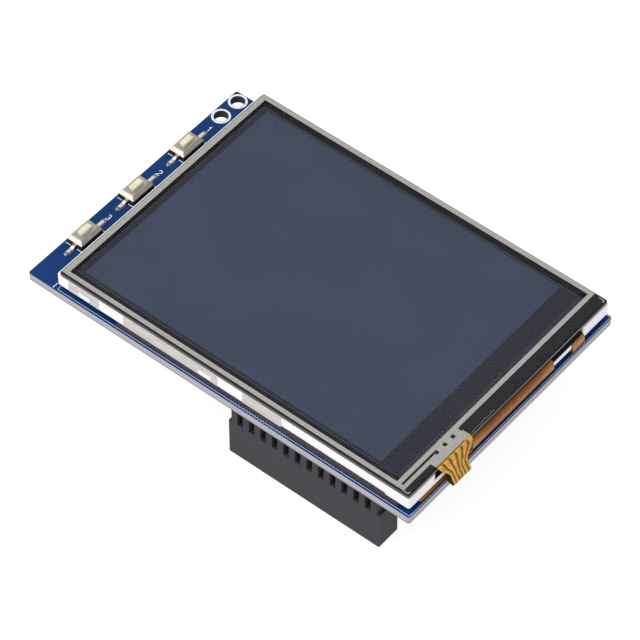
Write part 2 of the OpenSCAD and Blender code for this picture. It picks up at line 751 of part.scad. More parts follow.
module side_tapes() {
    l = lcd_x1 - lcd_x0;
    h = lcd_z1 - lcd_z0;
    color("#c4c0bb") for (t = TAPES)
        translate([lcd_x0 + t[0] * l, lcd_y0 - tape_t, lcd_z1 - t[2] * h])
            cube([(t[1] - t[0]) * l, tape_t, t[2] * h]);
}

// Touch panel

module touch_outline() {
    round_rect(touch_x0, touch_x1, touch_y0, touch_y1, touch_r);
}

// Black gasket: a frame of double-sided tape between the display and the touch panel
module touch_gasket() {
    color("#17171a") layer(lcd_z1, gasket_t) difference() {
        touch_outline();
        rect(polarizer_x0 - FIT, ledge_x + FIT, polarizer_y0 - FIT, polarizer_y1 + FIT);
    }
}

module touch_glass() {
    color("#9aa5ab") layer(touch_glass_z, touch_glass_t) touch_outline();
}

// Inside of the silver ring, and the notch for the tail's bonded end
module ring_inside() {
    rect(ring_x0 + bar_start_w, ring_x1 - bar_w, ring_y0 + bar_w, ring_y1 - bar_w);
}

module tail_notch() {
    rect(touch_x1 - tail_bond, touch_x1 + CUT, bond_y0, bond_y1);
}

// Silver print: the ring, the second bar and the patch at the tail, with small windows in it
module silver_print() {
    bar2_x0 = ring_x1 + bar_gap;
    bar2_x1 = bar2_x0 + bar2_w;
    difference() {
        rect(ring_x0, ring_x1, ring_y0, ring_y1);
        ring_inside();
    }
    difference() {
        union() {
            rect(ring_x1 - bar_w / 2, bar2_x1, ring_y0, ring_y0 + bar_w);
            rect(bar2_x0, bar2_x1, ring_y0, bond_y0 + bar_w);
            rect(ring_x1 - bar_w / 2, touch_x1 - tail_bond, bond_y0, bond_y1);
        }
        rect(ring_x1, bar2_x0, ring_y0 + bar_w, bond_y0 + window_step + window_w);
        for (k = [1:4]) translate([ring_x1 + FIT, bond_y0 + k * window_step]) square(window_w);
    }
    for (side = [0, 1]) translate([0, lcd_cy, 0]) mirror([0, side, 0]) corner_mark();
}

// Registration mark in a corner of the panel's cable end, drawn from the panel's middle line
module corner_mark() {
    x = touch_x1 - mark_edge;
    y = (touch_y1 - touch_y0) / 2 - mark_edge;
    rect(x - mark_l, x, y - mark_w, y);
    rect(x - mark_w, x, y - mark_l / 2, y);
}

module touch_bars() {
    color("#b7b5b0") layer(spacer_z, spacer_t) silver_print();
}

module touch_spacer() {
    color("#4b4a4c") layer(spacer_z, spacer_t) difference() {
        touch_outline();
        ring_inside();
        silver_print();
        tail_notch();
    }
}

module touch_film() {
    color("#a9b3b8") layer(film_z, film_t) touch_outline();
}

// Tail: from between glass and film it slopes down past the board's edge, narrowing, to a close fold,
// and runs back under the display to its pads on the board
module touch_tail() {
    z = spacer_z + flex_t / 2;
    top = [touch_x1 + FIT, z - tail_r];
    fold = [touch_x1 + tail_out - tail_r - flex_t / 2, board_z1 - tail_sag + tail_r];
    back = [lcd_x1 - lcd_flex_r / 2, tail_z];
    slope = atan2(top[1] - fold[1], fold[0] - top[0]);
    rise = atan2(back[1] - fold[1] + tail_r, fold[0] - back[0]);
    side = tail_r * [cos(90 - slope), sin(90 - slope)];
    run = [for (i = [1:5]) top + side + (fold - top) * i / 6];
    path = concat([[touch_x1 - tail_bond, z]], bend(top[0], top[1], tail_r, 90, 90 - slope, 4), run,
        bend(fold[0], fold[1], tail_r, 90 - slope, -90 - rise, 10), [back],
        foot(touch_x1 - tail_back, tail_z, flex_t));
    fold_y0 = bond_y0 + tail_step;
    fold_y1 = fold_y0 + tail_fold_w;
    narrow = concat([0, 0], [for (i = [1:len(path) - 2]) min(1, i / 8)]);
    color("#d99a35") strip(path, [for (k = narrow) bond_y0 + (fold_y0 - bond_y0) * k],
        [for (k = narrow) bond_y1 + (fold_y1 - bond_y1) * k], flex_t);
}

// Push-button switches, each drawn round its own middle on the board's top face

module at_switch(k) {
    y = board_y0 + switch_start + (len(SWITCHES) - k) * switch_step;
    translate([board_x0 + switch_edge, y, board_z1]) children();
}

// Moulded base: a block with a well for the key, grooves for the shell's clips and slots for the leads
module switch_base() {
    groove_w = clip_w + 2 * CLOSE;
    slot = lead_t + 2 * HAIR;
    color("#1d1d20") difference() {
        translate([-switch_w / 2, -switch_l / 2, 0]) cube([switch_w, switch_l, rim_low - HAIR]);
        translate([-well_w / 2, -well_l / 2, well_floor]) cube([well_w, well_l, switch_h]);
        for (side = [0, 1]) mirror([0, side, 0]) {
            translate([-groove_w / 2, -switch_l / 2 - CUT, switch_h - clip_h - CLOSE])
                cube([groove_w, CUT + HAIR + shell_t + CLOSE, switch_h]);
            translate([-lead_w / 2 - HAIR, -switch_l / 2 - CUT, lead_z - HAIR])
                cube([lead_w + 2 * HAIR, CUT + lead_in, slot]);
        }
    }
}

// Block whose four sides slope in by `slope` over its height, from z = low to z = high
module sloped_block(w, l, low, high, slope) {
    corners = [for (level = [[low, 0], [high, slope]]) let (x = w / 2 - level[1], y = l / 2 - level[1])
        each [[-x, -y, level[0]], [x, -y, level[0]], [x, y, level[0]], [-x, y, level[0]]]];
    polyhedron(corners, [[0, 1, 2, 3], [7, 6, 5, 4], [0, 4, 5, 1], [1, 5, 6, 2], [2, 6, 7, 3], [3, 7, 4, 0]]);
}

// Drawn cover: a flat top with a window, four sloped sides, and a narrow clip at each end
module switch_shell() {
    lean = shell_slope / shell_drop;
    wall = shell_t * sqrt(1 + lean * lean);    // thickness of a sloped side, measured level
    window = FIT + key_r;
    color("#a9a69e") {
        difference() {
            sloped_block(switch_w, switch_l, rim_low, switch_h, shell_slope);
            translate([0, 0, -CUT]) sloped_block(switch_w - 2 * wall + 2 * CUT * lean,
                switch_l - 2 * wall + 2 * CUT * lean, rim_low, switch_h - shell_t + CUT,
                (shell_drop - shell_t + CUT) * lean);
            layer(switch_h - shell_t - HAIR, 2 * CUT) round_rect(-key_w / 2 - FIT, key_w / 2 + FIT,
                -key_l / 2 - FIT, key_l / 2 + FIT, window);
        }
        for (side = [0, 1]) mirror([0, side, 0])
            translate([-clip_w / 2, -switch_l / 2 + HAIR, switch_h - clip_h])
                cube([clip_w, shell_t, clip_h - shell_drop + HAIR]);
    }
}

// Side view of a key's top, w wide, with rounded upper edges
module key_side(w) {
    top = switch_h + key_rise;
    rect(-w / 2, w / 2, key_flange_z, top - key_edge);
    rect(-w / 2 + key_edge, w / 2 - key_edge, key_flange_z, top);
    for (x = [-w / 2 + key_edge, w / 2 - key_edge]) translate([x, top - key_edge]) circle(key_edge);
}

// Key: a top rounded in all three views, a flange that holds it under the shell, and a stem
module switch_key() {
    margin = FIT + CLOSE;
    stem_z = well_floor + dome_rise + HAIR;
    color("#e4deb8") {
        intersection() {
            layer(key_flange_z, switch_h) round_rect(-key_w / 2, key_w / 2, -key_l / 2, key_l / 2, key_r);
            along_y(key_l) key_side(key_w);
            along_x(key_w) key_side(key_l);
        }
        layer(key_flange_z, flange_t)
            rect(-well_w / 2 + margin, well_w / 2 - margin, -well_l / 2 + margin, well_l / 2 - margin);
        translate([0, 0, stem_z]) cylinder(d = stem_d, h = key_flange_z - stem_z + HAIR);
    }
}

// Snap dome: a cap cut from a thin spherical shell
module switch_dome() {
    r = (dome_r * dome_r + dome_rise * dome_rise) / (2 * dome_rise);
    color("#c9c9c6") intersection() {
        translate([0, 0, well_floor + dome_rise - r]) difference() {
            sphere(r, $fn = 96);
            sphere(r - dome_t, $fn = 96);
        }
        translate([0, 0, well_floor]) cylinder(r = dome_r, h = dome_rise + CUT);
    }
}

// Gull-wing leads, one at each end
module switch_leads() {
    y = -switch_l / 2;
    knee = lead_out * 0.2;
    heel = lead_out * 0.42;
    color("#d8d6d0") for (side = [0, 1]) mirror([0, side, 0]) along_x(lead_w / 2)
        polygon([[y + lead_in, lead_z], [y + lead_in, lead_z + lead_t], [y - knee, lead_z + lead_t],
            [y - heel, pad_t + lead_t], [y - lead_out, pad_t + lead_t], [y - lead_out, pad_t],
            [y - heel + pad_t, pad_t], [y - knee + pad_t, lead_z]]);
}

// Tinned pads, with a mound of solder at each lead's toe
module switch_pads() {
    ball = (mound_r * mound_r + mound_h * mound_h) / (2 * mound_h);
    y1 = -switch_l / 2 - pad_gap;
    y0 = y1 - pad_l;
    color("#bdbdbb") for (side = [0, 1]) mirror([0, side, 0]) difference() {
        union() {
            layer(0, pad_t) round_rect(-pad_w / 2, pad_w / 2, y0, y1, pad_w / 2 - FIT / 10);
            intersection() {
                translate([0, y0 + mound_r, pad_t + mound_h - ball]) sphere(ball, $fn = 96);
                translate([0, y0 + mound_r, 0]) cylinder(r = mound_r, h = CUT);
            }
        }
        translate([-lead_w / 2, -switch_l / 2 - lead_out, pad_t]) cube([lead_w, lead_out, CUT]);
    }
}

module switch_solder() {
    for (k = SWITCHES) at_switch(k) switch_pads();
}

// Parts soldered under the board, each drawn with its seating plane at z = 0 and hanging down

module under_board(x, y, turn = 0) {
    translate([board_x0 + x, board_y0 + y, board_z0]) rotate([180, 0, turn]) children();
}

// Side view of a moulded body, w wide, with sides that slope to its parting line
module mould_side(w, h) {
    mid = (chip_lift + h) / 2;
    flat = w / 2 - mould_slope;
    polygon([[-flat, chip_lift], [flat, chip_lift], [w / 2, mid], [flat, h], [-flat, h], [-w / 2, mid]]);
}

module moulded_body(l, w, h) {
    intersection() {
        along_y(w) mould_side(l, h);
        along_x(l) mould_side(w, h);
    }
}

// A chip's body, with a round mark by its first pin
module chip_body(l, w, h) {
    difference() {
        moulded_body(l, w, h);
        translate([-l / 2 + 1.3 * dot_d, -w / 2 + 1.2 * dot_d, h - dot_depth]) cylinder(d = dot_d, h = CUT);
    }
}

// One gull-wing lead on the +Y side of a body w wide, from its parting line to the board
module gull(x, w, h, lead, out) {
    mid = (chip_lift + h) / 2;
    half = gull_t / 2;
    translate([x, w / 2, 0]) along_x(lead / 2)
        polygon([[0, mid - half], [out * 0.35, mid - half], [out * 0.45, 0], [out, 0], [out, gull_t],
            [out * 0.6, gull_t], [out * 0.48, mid + half], [0, mid + half]]);
}

// Leads along both sides of a chip: count a side, at step apart
module chip_leads(w, h, count, step, lead, out) {
    for (i = [0:count - 1], side = [0, 1])
        mirror([0, side, 0]) gull((i - (count - 1) / 2) * step, w, h, lead, out);
}

// Where the parts sit, from the board's plain end and near edge. Each capacitor stands beside the
// chip that it serves, and the resistors stand in rows beside the controller and the transistor.
logic_side = logic_l / 2 + chip_gap + chip_l / 2;
controller_side = controller_w / 2 + gull_l + chip_gap;
controller_x = board_l - controller_end;
transistor_x = board_l - transistor_end;
LOGIC_AT = [for (k = [0:2]) [logic_start + k * logic_step, logic_row]];
CAPACITORS_AT = concat(
    [for (p = LOGIC_AT) p + [0, logic_side]],
    [for (side = [-1, 1]) [controller_x + side * (controller_l / 2 + 2 * chip_gap), controller_row]],
    [for (x = [-2, -1, 2]) [regulator_start + x * chip_apart, regulator_row]]);
RESISTORS_AT = concat(
    [for (k = [-1.5:1.5]) [controller_x + k * chip_apart, controller_row + controller_side]],
    [for (side = [-1, 1], k = [0, 1])
        [transistor_x + side * (sot_l / 2 + chip_gap), transistor_row + k * chip_apart]],
    [for (k = [0:2]) [switch_edge + switch_strip, switch_start + (k + 0.5) * switch_step]]);

module logic_chips() {
    color("#26262a") for (p = LOGIC_AT) under_board(p[0], p[1], 90) chip_body(logic_l, logic_w, logic_h);
}

module logic_chip_leads() {
    color("#c4c4c0") for (p = LOGIC_AT) under_board(p[0], p[1], 90)
        chip_leads(logic_w, logic_h, 8, logic_pitch, gull_w, gull_l);
}

module touch_controller() {
    color("#26262a") under_board(controller_x, controller_row)
        chip_body(controller_l, controller_w, controller_h);
}

module touch_controller_leads() {
    color("#c4c4c0") under_board(controller_x, controller_row)
        chip_leads(controller_w, controller_h, 8, controller_pitch, fine_w, gull_l);
}

module regulator() {
    color("#26262a") under_board(regulator_start, regulator_row) moulded_body(sot_l, sot_w, sot_h);
}

module regulator_leads() {
    color("#c4c4c0") under_board(regulator_start, regulator_row)
        chip_leads(sot_w, sot_h, 3, sot_pitch, gull_w, sot_out);
}

module dimmer_transistor() {
    color("#26262a") under_board(transistor_x, transistor_row) moulded_body(sot_l, sot_w, sot_h);
}

module dimmer_transistor_leads() {
    color("#c4c4c0") under_board(transistor_x, transistor_row) {
        for (side = [-1, 1]) gull(side * sot_pitch, sot_w, sot_h, gull_w, sot_out);
        mirror([0, 1, 0]) gull(0, sot_w, sot_h, gull_w, sot_out);
    }
}

// A chip part's body between its two end caps
module chip_middle(h) {
    translate([-chip_l / 2 + cap_l, -chip_w / 2, 0]) cube([chip_l - 2 * cap_l, chip_w, h]);
}

module end_caps(h) {
    for (x = [-chip_l / 2, chip_l / 2 - cap_l]) translate([x, -chip_w / 2, 0]) cube([cap_l, chip_w, h]);
}

module chip_resistors() {
    color("#202024") for (p = RESISTORS_AT) under_board(p[0], p[1]) chip_middle(resistor_h);
}

module chip_capacitors() {
    color("#b39a78") for (p = CAPACITORS_AT) under_board(p[0], p[1], 90) chip_middle(capacitor_h);
}

module chip_caps() {
    color("#c9c9c6") {
        for (p = RESISTORS_AT) under_board(p[0], p[1]) end_caps(resistor_h);
        for (p = CAPACITORS_AT) under_board(p[0], p[1], 90) end_caps(capacitor_h);
    }
}

pcb();
header_housing();
header_contacts();
header_solder();
foam_tape_front();
foam_tape_rear();
backlight_frame();
reflector();
light_guide();
diffuser();
prism_films();
leds();
backlight_flex();
rim_tape();
rear_polarizer();
rear_glass();
front_glass();
front_polarizer();
driver_chip();
lcd_flex();
side_tapes();
touch_gasket();
touch_glass();
touch_bars();
touch_spacer();
touch_film();
touch_tail();
for (k = SWITCHES) {
    at_switch(k) switch_base();
    at_switch(k) switch_shell();
    at_switch(k) switch_key();
    at_switch(k) switch_dome();
    at_switch(k) switch_leads();
}
switch_solder();
logic_chips();
logic_chip_leads();
touch_controller();
touch_controller_leads();
regulator();
regulator_leads();
dimmer_transistor();
dimmer_transistor_leads();
chip_resistors();
chip_capacitors();
chip_caps();
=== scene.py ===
# %% [markdown]
# # A touch display board with its finishes
# A colour LCD with a resistive touch panel sits on a small blue circuit board, which plugs onto a pin
# header with the tall socket under one long edge. The solids come ready made, as a fixed frame in metres.
# This lesson gives them their finishes, swaps the soft and bent pieces for finer surfaces worked out with
# numpy, and sets up the floor, the lamps and the camera.

# %% Load the frame
import math

import bpy
import numpy as np
from mathutils import Matrix, Vector


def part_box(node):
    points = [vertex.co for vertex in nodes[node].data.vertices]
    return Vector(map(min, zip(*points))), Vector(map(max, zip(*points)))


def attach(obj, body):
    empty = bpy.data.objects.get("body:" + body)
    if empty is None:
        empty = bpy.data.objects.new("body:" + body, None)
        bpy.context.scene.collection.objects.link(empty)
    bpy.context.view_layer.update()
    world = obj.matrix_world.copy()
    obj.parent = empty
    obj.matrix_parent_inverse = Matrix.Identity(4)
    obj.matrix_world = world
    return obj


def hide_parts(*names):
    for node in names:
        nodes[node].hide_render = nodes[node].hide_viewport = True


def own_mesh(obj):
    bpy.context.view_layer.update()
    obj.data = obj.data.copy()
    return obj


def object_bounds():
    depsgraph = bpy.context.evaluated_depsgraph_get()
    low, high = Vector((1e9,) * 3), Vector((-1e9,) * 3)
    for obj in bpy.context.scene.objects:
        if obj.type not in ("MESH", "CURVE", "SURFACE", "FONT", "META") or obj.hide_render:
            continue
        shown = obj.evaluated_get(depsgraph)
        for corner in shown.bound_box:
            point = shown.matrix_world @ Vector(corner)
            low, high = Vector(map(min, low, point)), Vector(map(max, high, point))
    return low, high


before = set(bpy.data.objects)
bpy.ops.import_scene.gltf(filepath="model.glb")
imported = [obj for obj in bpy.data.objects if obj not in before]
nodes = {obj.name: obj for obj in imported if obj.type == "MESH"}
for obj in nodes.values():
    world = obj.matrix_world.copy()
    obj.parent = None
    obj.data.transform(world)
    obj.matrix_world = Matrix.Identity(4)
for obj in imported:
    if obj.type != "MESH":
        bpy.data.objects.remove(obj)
cad_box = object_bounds()
MM = 0.001

# %% [markdown]
# Every later place is measured from the nodes' own boxes, in millimetres, so that the pieces follow the
# frame and nothing has to be fitted by eye. Places on the board are counted from its low corner.

# %% Measure the main pieces
def box_mm(node):
    """A node's lowest and highest corner, in millimetres."""
    low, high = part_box(node)
    return np.array(low) / MM, np.array(high) / MM


board_low, board_high = box_mm("pcb")
lcd_low, lcd_high = box_mm("backlight_frame")
touch_low, touch_high = box_mm("touch_glass")
board_top = board_high[2]
SWITCHES = (1, 2, 3)
print("board", np.round(board_high - board_low, 2), "mm; its top at", round(board_top, 2), "mm")

# %% [markdown]
# ## Colours and shader nodes
# Colours are written as sRGB hex, as a paint chart gives them, and turned to the linear values that the
# shaders mix. One small function adds any shader node with its settings and links. A few shorter ones put
# names to the steps that come back again and again: arithmetic, ranges, noise, ramps and bumps.

# %% Colours and shader nodes
def linear(hex_colour):
    """Linear RGBA from an sRGB hex colour: each channel c becomes ((c + 0.055) / 1.055) ** 2.4,
    or c / 12.92 where c is 0.04045 or less."""
    channels = [int(hex_colour[i:i + 2], 16) / 255 for i in (1, 3, 5)]
    return [c / 12.92 if c <= 0.04045 else ((c + 0.055) / 1.055) ** 2.4 for c in channels] + [1.0]


def add(tree, kind, inputs=(), stops=(), **settings):
    """Adds one shader node: settings are its own properties, inputs maps its sockets' names or numbers
    to a value or to another node's output, and stops are a colour ramp's (place, hex colour) pairs."""
    node = tree.nodes.new("ShaderNode" + kind)
    for name, value in settings.items():
        setattr(node, name, value)
    for key, value in dict(inputs).items():
        if isinstance(value, bpy.types.NodeSocket):
            tree.links.new(value, node.inputs[key])
        else:
            node.inputs[key].default_value = value
    for number, (place, hex_colour) in enumerate(stops):
        elements = node.color_ramp.elements
        element = elements[number] if number < len(elements) else elements.new(place)
        element.position = place
        element.color = linear(hex_colour)
    return node


def start_material(name, **constants):
    """A material with one Principled shader. constants are sockets that are the same all over; an
    underscore stands for a space in a socket's name."""
    material = bpy.data.materials.new(name)
    material.use_nodes = True
    tree = material.node_tree
    shader = tree.nodes["Principled BSDF"]
    for key, value in constants.items():
        shader.inputs[key.replace("_", " ")].default_value = value
    return material, tree, shader


def calc(tree, operation, *values):
    """One step of arithmetic on one or two values or outputs."""
    return add(tree, "Math", dict(enumerate(values)), operation=operation).outputs[0]


def spread(tree, value, low, high, **limits):
    """value, which goes from 0 to 1 or between the limits given, moved to go from low to high."""
    limits = {key.replace("_", " "): limit for key, limit in limits.items()}
    return add(tree, "MapRange", {"Value": value, **limits, "To Min": low, "To Max": high}).outputs[0]


def mixed_colour(tree, share, first, second, **settings):
    """The first colour where share is 0, and the second where it is 1."""
    sockets = {"Factor": share, "A": first, "B": second}
    return add(tree, "Mix", sockets, data_type="RGBA", **settings).outputs["Result"]


def noise(tree, place, cell, detail):
    """Cloudy noise between 0 and 1, with cells of about `cell` millimetres."""
    return add(tree, "TexNoise", {"Vector": place, "Scale": 1 / (cell * MM), "Detail": detail}).outputs["Fac"]


def tones(tree, value, *stops):
    """A colour ramp over a value."""
    return add(tree, "ValToRGB", {"Fac": value}, stops).outputs[0]


def raised(tree, height, distance, strength=1.0):
    """A bump as high as `distance` millimetres where the height is 1."""
    return add(tree, "Bump", {"Height": height, "Distance": distance * MM, "Strength": strength}).outputs[0]


def feed(tree, shader, **outputs):
    """Links outputs to the shader's sockets; an underscore stands for a space in a socket's name."""
    for key, output in outputs.items():
        tree.links.new(output, shader.inputs[key.replace("_", " ")])


print("white is", linear("#ffffff")[0], "and mid grey", round(linear("#808080")[0], 3))

# %% [markdown]
# Most surfaces here share one build: a cloudy grain that shifts the colour a little, moves the roughness
# between two limits, and lifts the surface by a few micrometres. What differs is the size of the grain and
# how strong it is, and both come from how the real surface was made. A moulded face copies the spark
# texture of its mould, a film is almost smooth, and foam is all pores.

# %% A grained surface
# At or below the first noise value the dark colour is pure, and at or above the second the light one is
GRAIN_LOW, GRAIN_HIGH = 0.3, 0.7


def grained(name, light, dark, grain, roughness, bump=0.0, stretch=(1, 1, 1), detail=3, **constants):
    """Noise with cells of `grain` millimetres mixes the two colours, moves the roughness between its two
    limits, and raises the surface by up to `bump` millimetres. stretch multiplies the noise's place
    along each axis: a small number draws the grain out into streaks."""
    material, tree, shader = start_material(name, **constants)
    place = add(tree, "TexCoord").outputs["Object"]
    place = add(tree, "Mapping", {"Vector": place, "Scale": stretch}).outputs[0]
    cloud = noise(tree, place, grain, detail)
    feed(tree, shader, Base_Color=tones(tree, cloud, (GRAIN_LOW, dark), (GRAIN_HIGH, light)),
         Roughness=spread(tree, cloud, *roughness, From_Min=GRAIN_LOW, From_Max=GRAIN_HIGH))
    if bump:
        feed(tree, shader, Normal=raised(tree, cloud, bump))
    return material


def dress(material, *names):
    """Puts a material on CAD nodes, in place of the plain one."""
    for name in names:
        nodes[name].material_slots[0].material = material
    print(material.name, "on", len(names), "node" if len(names) == 1 else "nodes")


# %% [markdown]
# ## Board
# The board is woven glass and epoxy under a glossy blue solder mask. The mask covers only the two faces:
# the sawn edge shows the pale, greyish laminate with fine glass specks, and the walls of the drilled screw
# holes are coloured dark grey: painted shade inside them. The side a face points to tells mask from edge,
# and the distance to the nearer hole tells a hole's wall from the sawn edge. A lower strip of the edge is
# browner.

# %% Solder mask and sawn laminate
HOLE_FROM_EDGE, HOLE_STEP, HOLE_REACH = 1.9, 4.7, 1.4
BROWN_LOW, BROWN_HIGH = 0.15, 0.4
hole_places = [(board_low[0] + HOLE_FROM_EDGE, board_high[1] - HOLE_FROM_EDGE - k * HOLE_STEP)
               for k in (0, 1)]


def distance_to_holes(tree, place):
    """The distance to the nearer hole's axis, over the board's face."""
    nearest = None
    for x, y in hole_places:
        flat = add(tree, "VectorMath", {0: place, 1: (1, 1, 0)}, operation="MULTIPLY").outputs[0]
        away = add(tree, "VectorMath", {0: flat, 1: (x * MM, y * MM, 0)}, operation="DISTANCE")
        away = away.outputs["Value"]
        nearest = away if nearest is None else calc(tree, "MINIMUM", nearest, away)
    return nearest


def solder_mask_and_laminate():
    # Liquid mask, flooded on and cured: smooth and deep blue. Sawn laminate: rough and speckled.
    material, tree, shader = start_material("blue_solder_mask_on_glass_epoxy", Specular_IOR_Level=0.09)
    place = add(tree, "TexCoord").outputs["Object"]
    mask = tones(tree, noise(tree, place, 11, 4), (0.3, "#0a2e60"), (0.7, "#10366a"))
    fibre = noise(tree, place, 0.16, 4)
    laminate = tones(tree, fibre, (0.3, "#95949b"), (0.65, "#bfbdc4"))
    height = add(tree, "SeparateXYZ", {0: place}).outputs["Z"]
    # The sawn edge mixes towards brown below 0.4 mm from the underside, fully below 0.15 mm
    browner_below = spread(tree, height, 0.6, 0.0, From_Min=(board_low[2] + BROWN_LOW) * MM,
                        From_Max=(board_low[2] + BROWN_HIGH) * MM)
    edge = mixed_colour(tree, browner_below, laminate, linear("#6a5f58"))
    # Painted shade: the walls of the screw holes take a dark grey in place of the laminate
    hole_painted_shade = calc(tree, "LESS_THAN", distance_to_holes(tree, place), HOLE_REACH * MM)
    edge = mixed_colour(tree, hole_painted_shade, edge, linear("#3a3e42"))
    up = add(tree, "SeparateXYZ", {0: add(tree, "NewGeometry").outputs["True Normal"]}).outputs["Z"]
    face = calc(tree, "GREATER_THAN", calc(tree, "ABSOLUTE", up), 0.5)
    feed(tree, shader, Base_Color=mixed_colour(tree, face, edge, mask),
         Roughness=spread(tree, face, 0.85, 0.34),
         Normal=raised(tree, fibre, 0.03, spread(tree, face, 1.0, 0.05)))
    return material


dress(solder_mask_and_laminate(), "pcb")

# %% [markdown]
# ## Socket, pins and solder
# The tall socket is moulded from a glass-filled polyester that stands soldering. Its faces are matt, and
# glass shows as a fine grain. The contacts are stamped from bronze strip and plated with gold, and their
# tails stand in small cones of solder. Metals keep the default index of refraction: colour, metalness and
# roughness say the rest.

# %% Socket, pins and solder
# Moulded glass-filled polyester: matt dark grey, with a fine speckle from the glass
dress(grained("moulded_black_polyester", "#3f3e42", "#343337", 0.22, (0.62, 0.8), 0.008,
              Specular_IOR_Level=0.2), "header_housing")
# Rolled bronze strip under gold plate: warm, with the strip's faint rolling grain along the contact
dress(grained("gold_plated_bronze", "#d8b765", "#c29d4c", 0.3, (0.25, 0.4), 0.002, (1, 1, 0.2),
              Metallic=1.0), "header_contacts")
# Reflowed tin solder: bright, a little frosty where it froze
solder = grained("reflowed_tin_solder", "#a09d9f", "#56545a", 0.5, (0.22, 0.45), 0.012, Metallic=1.0)
dress(solder, "header_solder", "switch_solder")

# %% [markdown]
# ## Display
# The display's body is a white moulded frame with the backlight's films stacked in it. On top lie two
# sheets of thin glass with a polarizer on each side, and then the touch panel. Pale strips of tape hold the
# films to the frame's side.

# %% Frame and backlight
# Moulded white polycarbonate: bright and even, with a faint flow cloud and a satin face
dress(grained("moulded_white_polycarbonate", "#f6f4f6", "#eeecef", 1.8, (0.42, 0.58), 0.004,
              Specular_IOR_Level=0.3), "backlight_frame")
# Voided polyester film: a very white, softly shining mirror
dress(grained("white_reflector_film", "#f2f4f5", "#e3e6e8", 2.0, (0.3, 0.5), 0.002), "reflector")
# Injection-moulded acrylic: water clear, smooth as its polished mould
dress(grained("clear_acrylic", "#e4edf2", "#d5e0e8", 2.0, (0.1, 0.2), Alpha=0.5), "light_guide")
# Bead-coated polyester: milky, with a fine sandy face
dress(grained("milky_diffuser_film", "#f7f7f5", "#ecedea", 0.5, (0.6, 0.8), 0.004), "diffuser")
# Embossed prism film: its ribs are 0.05 mm apart, drawn here as 0.3 mm streaks along the length
dress(grained("ribbed_prism_film", "#e6eaec", "#d3d9dc", 0.3, (0.2, 0.4), 0.008, (0.05, 1, 1)), "prism_films")
# White LED moulding with a yellow phosphor fill
dress(grained("white_led_moulding", "#efe6b8", "#e0d494", 0.4, (0.5, 0.7), 0.005), "leds")

# %% [markdown]
# There are two kinds of tape: a black one inside the display, over the rim of the backlight, and under the
# touch panel, and a pale one along the frame's side.

# %% Tapes
# Black polyester tape: printed matt black, smooth
black_tape = grained("black_polyester_tape", "#242127", "#1d1b20", 0.8, (0.5, 0.65), Specular_IOR_Level=0.12)
dress(black_tape, "rim_tape", "touch_gasket")
# Slit grey-beige adhesive tape, a little see-through over the white frame
side_tape = grained("greige_adhesive_tape", "#cfcac6", "#bab5b0", 0.9, (0.35, 0.5), 0.012, (0.3, 1, 1),
                    Specular_IOR_Level=0.35)
dress(side_tape, "side_tapes")

# %% [markdown]
# ## Glass and polarizer
# An LCD that is off looks slate grey: the front polarizer swallows most of the light, and the cell behind
# it gives a little back. Outside its active field the black mask of the colour filter makes it darker,
# so one film shows two tones with a crisp border. The border is a box test on the film's own place: the
# least of the four distances to the field's sides is positive inside.

# %% Front polarizer with the active field
FIELD_LOW = np.array([9.8, 4.2])
FIELD_HIGH = np.array([75.4, 53.6])
FIELD_SOFT = 0.06


def polarizer_with_field():
    # Stretched dyed film with a hard matt coat: even, soft-edged highlights
    material, tree, shader = start_material("matt_polarizer_film", Specular_IOR_Level=0.12)
    place = add(tree, "TexCoord").outputs["Object"]
    axes = add(tree, "SeparateXYZ", {0: place})
    inside = None
    for axis, low, high in zip("XY", FIELD_LOW + board_low[:2], FIELD_HIGH + board_low[:2]):
        half, middle = (high - low) / 2 * MM, (high + low) / 2 * MM
        off = calc(tree, "ABSOLUTE", calc(tree, "SUBTRACT", axes.outputs[axis], middle))
        left = calc(tree, "SUBTRACT", half, off)
        inside = left if inside is None else calc(tree, "MINIMUM", inside, left)
    field = spread(tree, inside, 0.0, 1.0, From_Min=-FIELD_SOFT * MM, From_Max=FIELD_SOFT * MM)
    cloud = noise(tree, place, 16, 3)
    slate = tones(tree, cloud, (0.3, "#3f4a5d"), (0.7, "#454f63"))
    masked = tones(tree, cloud, (0.3, "#2f2f39"), (0.7, "#34343e"))
    feed(tree, shader, Base_Color=mixed_colour(tree, field, masked, slate),
         Roughness=spread(tree, cloud, 0.42, 0.55))
    return material


dress(polarizer_with_field(), "front_polarizer")

# %% [markdown]
# Over the polarizer lie the touch panel's glass and film. Both are nearly transparent, and their own
# colours are kept dark, because a pale one would veil the display under it. Silver bars are printed
# between the two.

# %% Glass, film and silver
# Dyed film behind the cell: dark and even
dress(grained("dyed_polarizer_film", "#343a42", "#2d333b", 1.0, (0.3, 0.45)), "rear_polarizer")
# Drawn thin glass: clear, faintly cool
dress(grained("drawn_cell_glass", "#7d8a92", "#75828b", 4.0, (0.08, 0.12), Alpha=0.3), "rear_glass",
      "front_glass")
# Lapped silicon: a dark mirror with a soft sheen
dress(grained("lapped_silicon", "#303236", "#25262a", 0.6, (0.15, 0.3), 0.002), "driver_chip")
# Float glass with a conductive coat: nearly all of it lets the display through
dress(grained("coated_float_glass", "#3a3d42", "#34373c", 2.0, (0.15, 0.22), Alpha=0.04,
              Specular_IOR_Level=0.0), "touch_glass")
# Hard-coated polyester film: clear, with a fine matt that softens reflections
dress(grained("hard_coated_film", "#42464e", "#3b3f47", 3.0, (0.35, 0.45), Alpha=0.05,
              Specular_IOR_Level=0.1), "touch_film")
# Screen-printed silver ink: pale grey and grainy, only half metallic because flakes lie in a binder
dress(grained("screen_printed_silver", "#b4b1ac", "#9a9793", 0.35, (0.5, 0.68), 0.004, Metallic=0.25,
              Specular_IOR_Level=0.25), "touch_bars")
